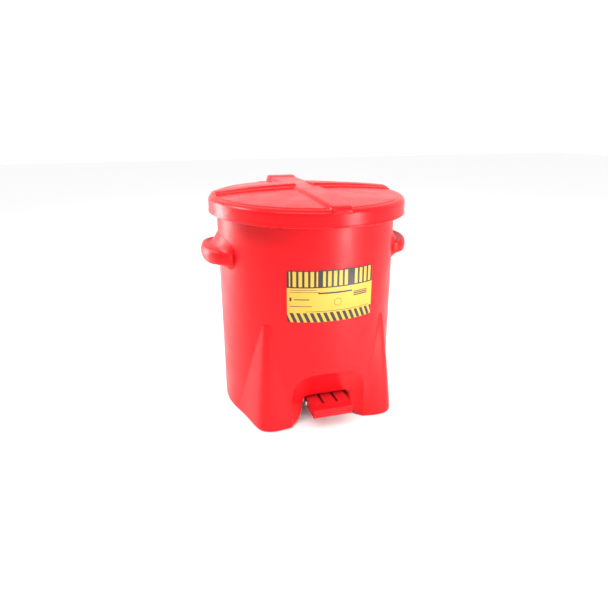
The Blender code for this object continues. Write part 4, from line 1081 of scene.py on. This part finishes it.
# ---- rod guides ------------------------------------------------------------------------------------
# Two black nylon blocks on the back wall, each held by two screws, with a bored hole for the rod.
guide_nylon = moulded_plastic("guide_black_nylon", (0.018, 0.018, 0.020), (0.032, 0.032, 0.034), 0.48, 0.16)
GUIDE_BACK_Y = ROD_Y + 0.0075
guide_half_tall = 0.008
guide_bore = circle(0, ROD_Y, ROD_RADIUS + 0.0004)
for z, level in ((0.099, "lower"), (0.309, "upper")):
    block_outline = rounded_rectangle((-0.024, CAN_RADIUS + GAP), (0.024, GUIDE_BACK_Y), 0.003)
    block = plate(block_outline, [guide_bore], on_xy, z - guide_half_tall, z + guide_half_tall)
    node = "rod_guide_" + level
    add_piece(node + "_moulded", [block], guide_nylon, "can", [node], bevel=0.0009)
    for x, word in ((-0.017, "left"), (0.017, "right")):
        node = "rod_guide_screw_" + level + "_" + word
        fit_screw(node, "can", "Y", (x, 0, z), GUIDE_BACK_Y + GAP, -1, 0.0182)


# ---- foot lever ------------------------------------------------------------------------------------
# Two cranked flat steel bars, zinc plated, side by side under the raised bottom. They turn on a steel
# axle, with spacer tubes between them and the brackets.
PIVOT_Y, PIVOT_Z = 0.018, 0.034
PIVOT = (0, PIVOT_Y, PIVOT_Z)
AXLE_RADIUS = 0.0040
AXLE_HOLE_RADIUS = AXLE_RADIUS + 0.0001
BAR_X = 0.0125
BAR_HALF_THICK = 0.0020
BOLT_YS = (-0.124, -0.108)
BOLT_RADIUS = 0.0025


def bar_outline():
    """Level in front of the pivot, sloping down behind it to the rear pin."""
    h = 0.006
    slope = math.atan2(HALF_STROKE, ROD_Y - PIVOT_Y)
    end = math.degrees(slope)
    points = [(-0.150, PIVOT_Z + h), (-0.150, PIVOT_Z - h), (PIVOT_Y - 0.010, PIVOT_Z - h)]
    points.append((PIVOT_Y - h * math.sin(slope), PIVOT_Z - h * 1.15))
    points += arc(ROD_Y, REAR_PIN_Z, h * 1.08, -90 - end, 90 - end, 24)
    return points + [(PIVOT_Y + 0.004, PIVOT_Z + h * 1.15), (PIVOT_Y - 0.010, PIVOT_Z + h)]


for side, word in ((-1, "left"), (1, "right")):
    holes = [circle(PIVOT_Y, PIVOT_Z, AXLE_HOLE_RADIUS), circle(ROD_Y, REAR_PIN_Z, LINK_PIN_RADIUS + 0.0005)]
    holes += [circle(y, PIVOT_Z, BOLT_RADIUS + GAP, 24) for y in BOLT_YS]
    middle = side * BAR_X
    bar = plate(bar_outline(), holes, on_yz, middle - BAR_HALF_THICK, middle + BAR_HALF_THICK)
    node = "lever_bar_" + word
    add_piece(node + "_cut", [bar], zinc, "lever", [node], bevel=0.0004)

spacer_spans = ((-0.0102, 0.0102, "middle"), (0.0148, 0.0297, "right"), (-0.0297, -0.0148, "left"))
for low, high, word in spacer_spans:
    chamfer = 0.0003
    outer = 0.0065
    profile = [(low, AXLE_HOLE_RADIUS), (low, outer - chamfer), (low + chamfer, outer)]
    profile += [(high - chamfer, outer), (high, outer - chamfer), (high, AXLE_HOLE_RADIUS)]
    tube = turned(profile, "X", PIVOT, closed=True)
    node = "axle_spacer_" + word
    add_piece(node + "_tube", [tube], zinc, "lever", [node], sharp=30)


# ---- pivot axle and brackets -----------------------------------------------------------------------
# The axle is ground steel with a clip at each end. It sits in two bent zinc-plated brackets that are
# screwed up into the can's raised bottom.
half_axle = [(0.0333, AXLE_RADIUS), (0.0333, groove_radius), (0.0349, groove_radius), (0.0349, AXLE_RADIUS)]
half_axle += [(0.0367, AXLE_RADIUS), (0.0373, AXLE_RADIUS - 0.0006)]
axle_profile = [(-x, r) for x, r in reversed(half_axle)] + half_axle
axle = turned(axle_profile, "X", PIVOT)
add_piece("pivot_axle_turned", [axle], bright_steel, "can", ["pivot_axle"])
MOUNT_TOP = FLOOR_UNDER - GAP
PAD_THICK = 0.003
PAD_HALF_LENGTH = 0.018
MOUNT_SCREW_X = 0.043
MOUNT_SCREW_DY = 0.011
for side, word in ((-1, "left"), (1, "right")):
    ends = sorted((side * 0.0336, side * 0.0346))
    node = "axle_clip_" + word
    clip = spring_clip(PIVOT, ends[0], ends[1], 0.0034, 0.0068)
    add_piece(node + "_stamped", [clip], spring_steel, "can", [node], bevel=0.00015)
    ear_top = MOUNT_TOP - 0.0020
    ear_side = [(PIVOT_Y + PAD_HALF_LENGTH, ear_top), (PIVOT_Y - PAD_HALF_LENGTH, ear_top)]
    ear_side += arc(PIVOT_Y, PIVOT_Z, 0.0085, 200, 340, 24)
    ends = sorted((side * 0.030, side * 0.033))
    bracket_ear = plate(ear_side, [circle(PIVOT_Y, PIVOT_Z, AXLE_HOLE_RADIUS)], on_yz, ends[0], ends[1])
    ends = sorted((side * 0.030, side * 0.052))
    pad = rounded_rectangle((ends[0], PIVOT_Y - PAD_HALF_LENGTH), (ends[1], PIVOT_Y + PAD_HALF_LENGTH), 0.002)
    screw_x = side * MOUNT_SCREW_X
    screw_ys = (PIVOT_Y - MOUNT_SCREW_DY, PIVOT_Y + MOUNT_SCREW_DY)
    pad_holes = [circle(screw_x, y, SCREW_RADIUS + GAP, 24) for y in screw_ys]
    bracket_pad = plate(pad, pad_holes, on_xy, MOUNT_TOP - PAD_THICK, MOUNT_TOP)
    node = "pivot_bracket_" + word
    add_piece(node + "_bent", [bracket_ear, bracket_pad], zinc, "can", [node], bevel=0.0004)
    for y, place in zip(screw_ys, ("front", "rear")):
        node = "pivot_bracket_screw_" + word + "_" + place
        fit_screw(node, "can", "Z", (screw_x, y, 0), MOUNT_TOP - PAD_THICK - GAP, 1, 0.0075)


# ---- pedal -----------------------------------------------------------------------------------------
# A red moulded foot plate with a ribbed front edge. The lever bars sit in its two slots, and two cross
# bolts with nuts hold it on.
PEDAL_HALF_WIDTH = 0.035
PEDAL_FRONT_Y = -0.1705
PEDAL_BACK_Y = -0.096
PEDAL_UNDER_Z = 0.028
PEDAL_EDGE_Z = 0.044
PEDAL_TOP_Z = 0.0465
pedal_red = moulded_plastic("pedal_red_plastic", (0.54, 0.004, 0.008), (0.62, 0.012, 0.018), 0.34, 0.12)


def pedal_outline():
    """The pedal from above, with its slots open at the back."""
    w = PEDAL_HALF_WIDTH
    slot_front = -0.153
    slot_half = BAR_HALF_THICK + GAP
    points = [(-w, PEDAL_BACK_Y), (-w, -0.160), (w, -0.160), (w, PEDAL_BACK_Y)]
    for middle in (BAR_X, -BAR_X):
        points += [(middle + slot_half, PEDAL_BACK_Y), (middle + slot_half, slot_front)]
        points += [(middle - slot_half, slot_front), (middle - slot_half, PEDAL_BACK_Y)]
    return points


pedal_nose = [(-0.1595, PEDAL_UNDER_Z), (-0.1595, PEDAL_TOP_Z), (-0.1615, PEDAL_TOP_Z)]
pedal_nose.append((-0.1668, PEDAL_EDGE_Z + 0.0006))
rib_section = ((0.0006, 0.0), (0.0, 0.0006), (0.0, 0.0028), (0.0012, 0.0034), (0.0012, 0.0038))
rib_pitch = 0.0042
for rib in range(3):
    level = PEDAL_EDGE_Z - rib_pitch * rib
    pedal_nose += [(PEDAL_FRONT_Y + back, level - drop) for back, drop in rib_section]
pedal_nose += [(PEDAL_FRONT_Y + 0.0005, 0.0310), (PEDAL_FRONT_Y + 0.0012, 0.0287)]
pedal_nose.append((PEDAL_FRONT_Y + 0.0030, PEDAL_UNDER_Z))
pedal_parts = [
    plate(pedal_outline(), [], on_xy, PEDAL_UNDER_Z, PEDAL_TOP_Z),
    plate(pedal_nose, [], on_yz, -PEDAL_HALF_WIDTH, PEDAL_HALF_WIDTH),
]
add_piece("pedal_moulding", pedal_parts, pedal_red, "lever", ["pedal"], bevel=0.0007)
for y, place in zip(BOLT_YS, ("front", "rear")):
    side_x = PEDAL_HALF_WIDTH + GAP
    profile = [(-side_x - 0.0028, 0.0022), (-side_x - 0.0022, 0.0040), (-side_x, 0.0044)]
    profile += [(-side_x, BOLT_RADIUS), (side_x + 0.0044, BOLT_RADIUS), (side_x + 0.0048, 0.0021)]
    bolt = turned(profile, "X", (0, y, PIVOT_Z), 36)
    node = "pedal_bolt_" + place
    add_piece(node + "_turned", [bolt], zinc, "lever", [node], sharp=30)
    nut_hole = circle(y, PIVOT_Z, BOLT_RADIUS + GAP)
    nut = plate(hexagon(y, PIVOT_Z, 0.008), [nut_hole], on_yz, side_x, side_x + 0.0038)
    node = "pedal_nut_" + place
    add_piece(node + "_cut", [nut], zinc, "lever", [node], bevel=0.0004)
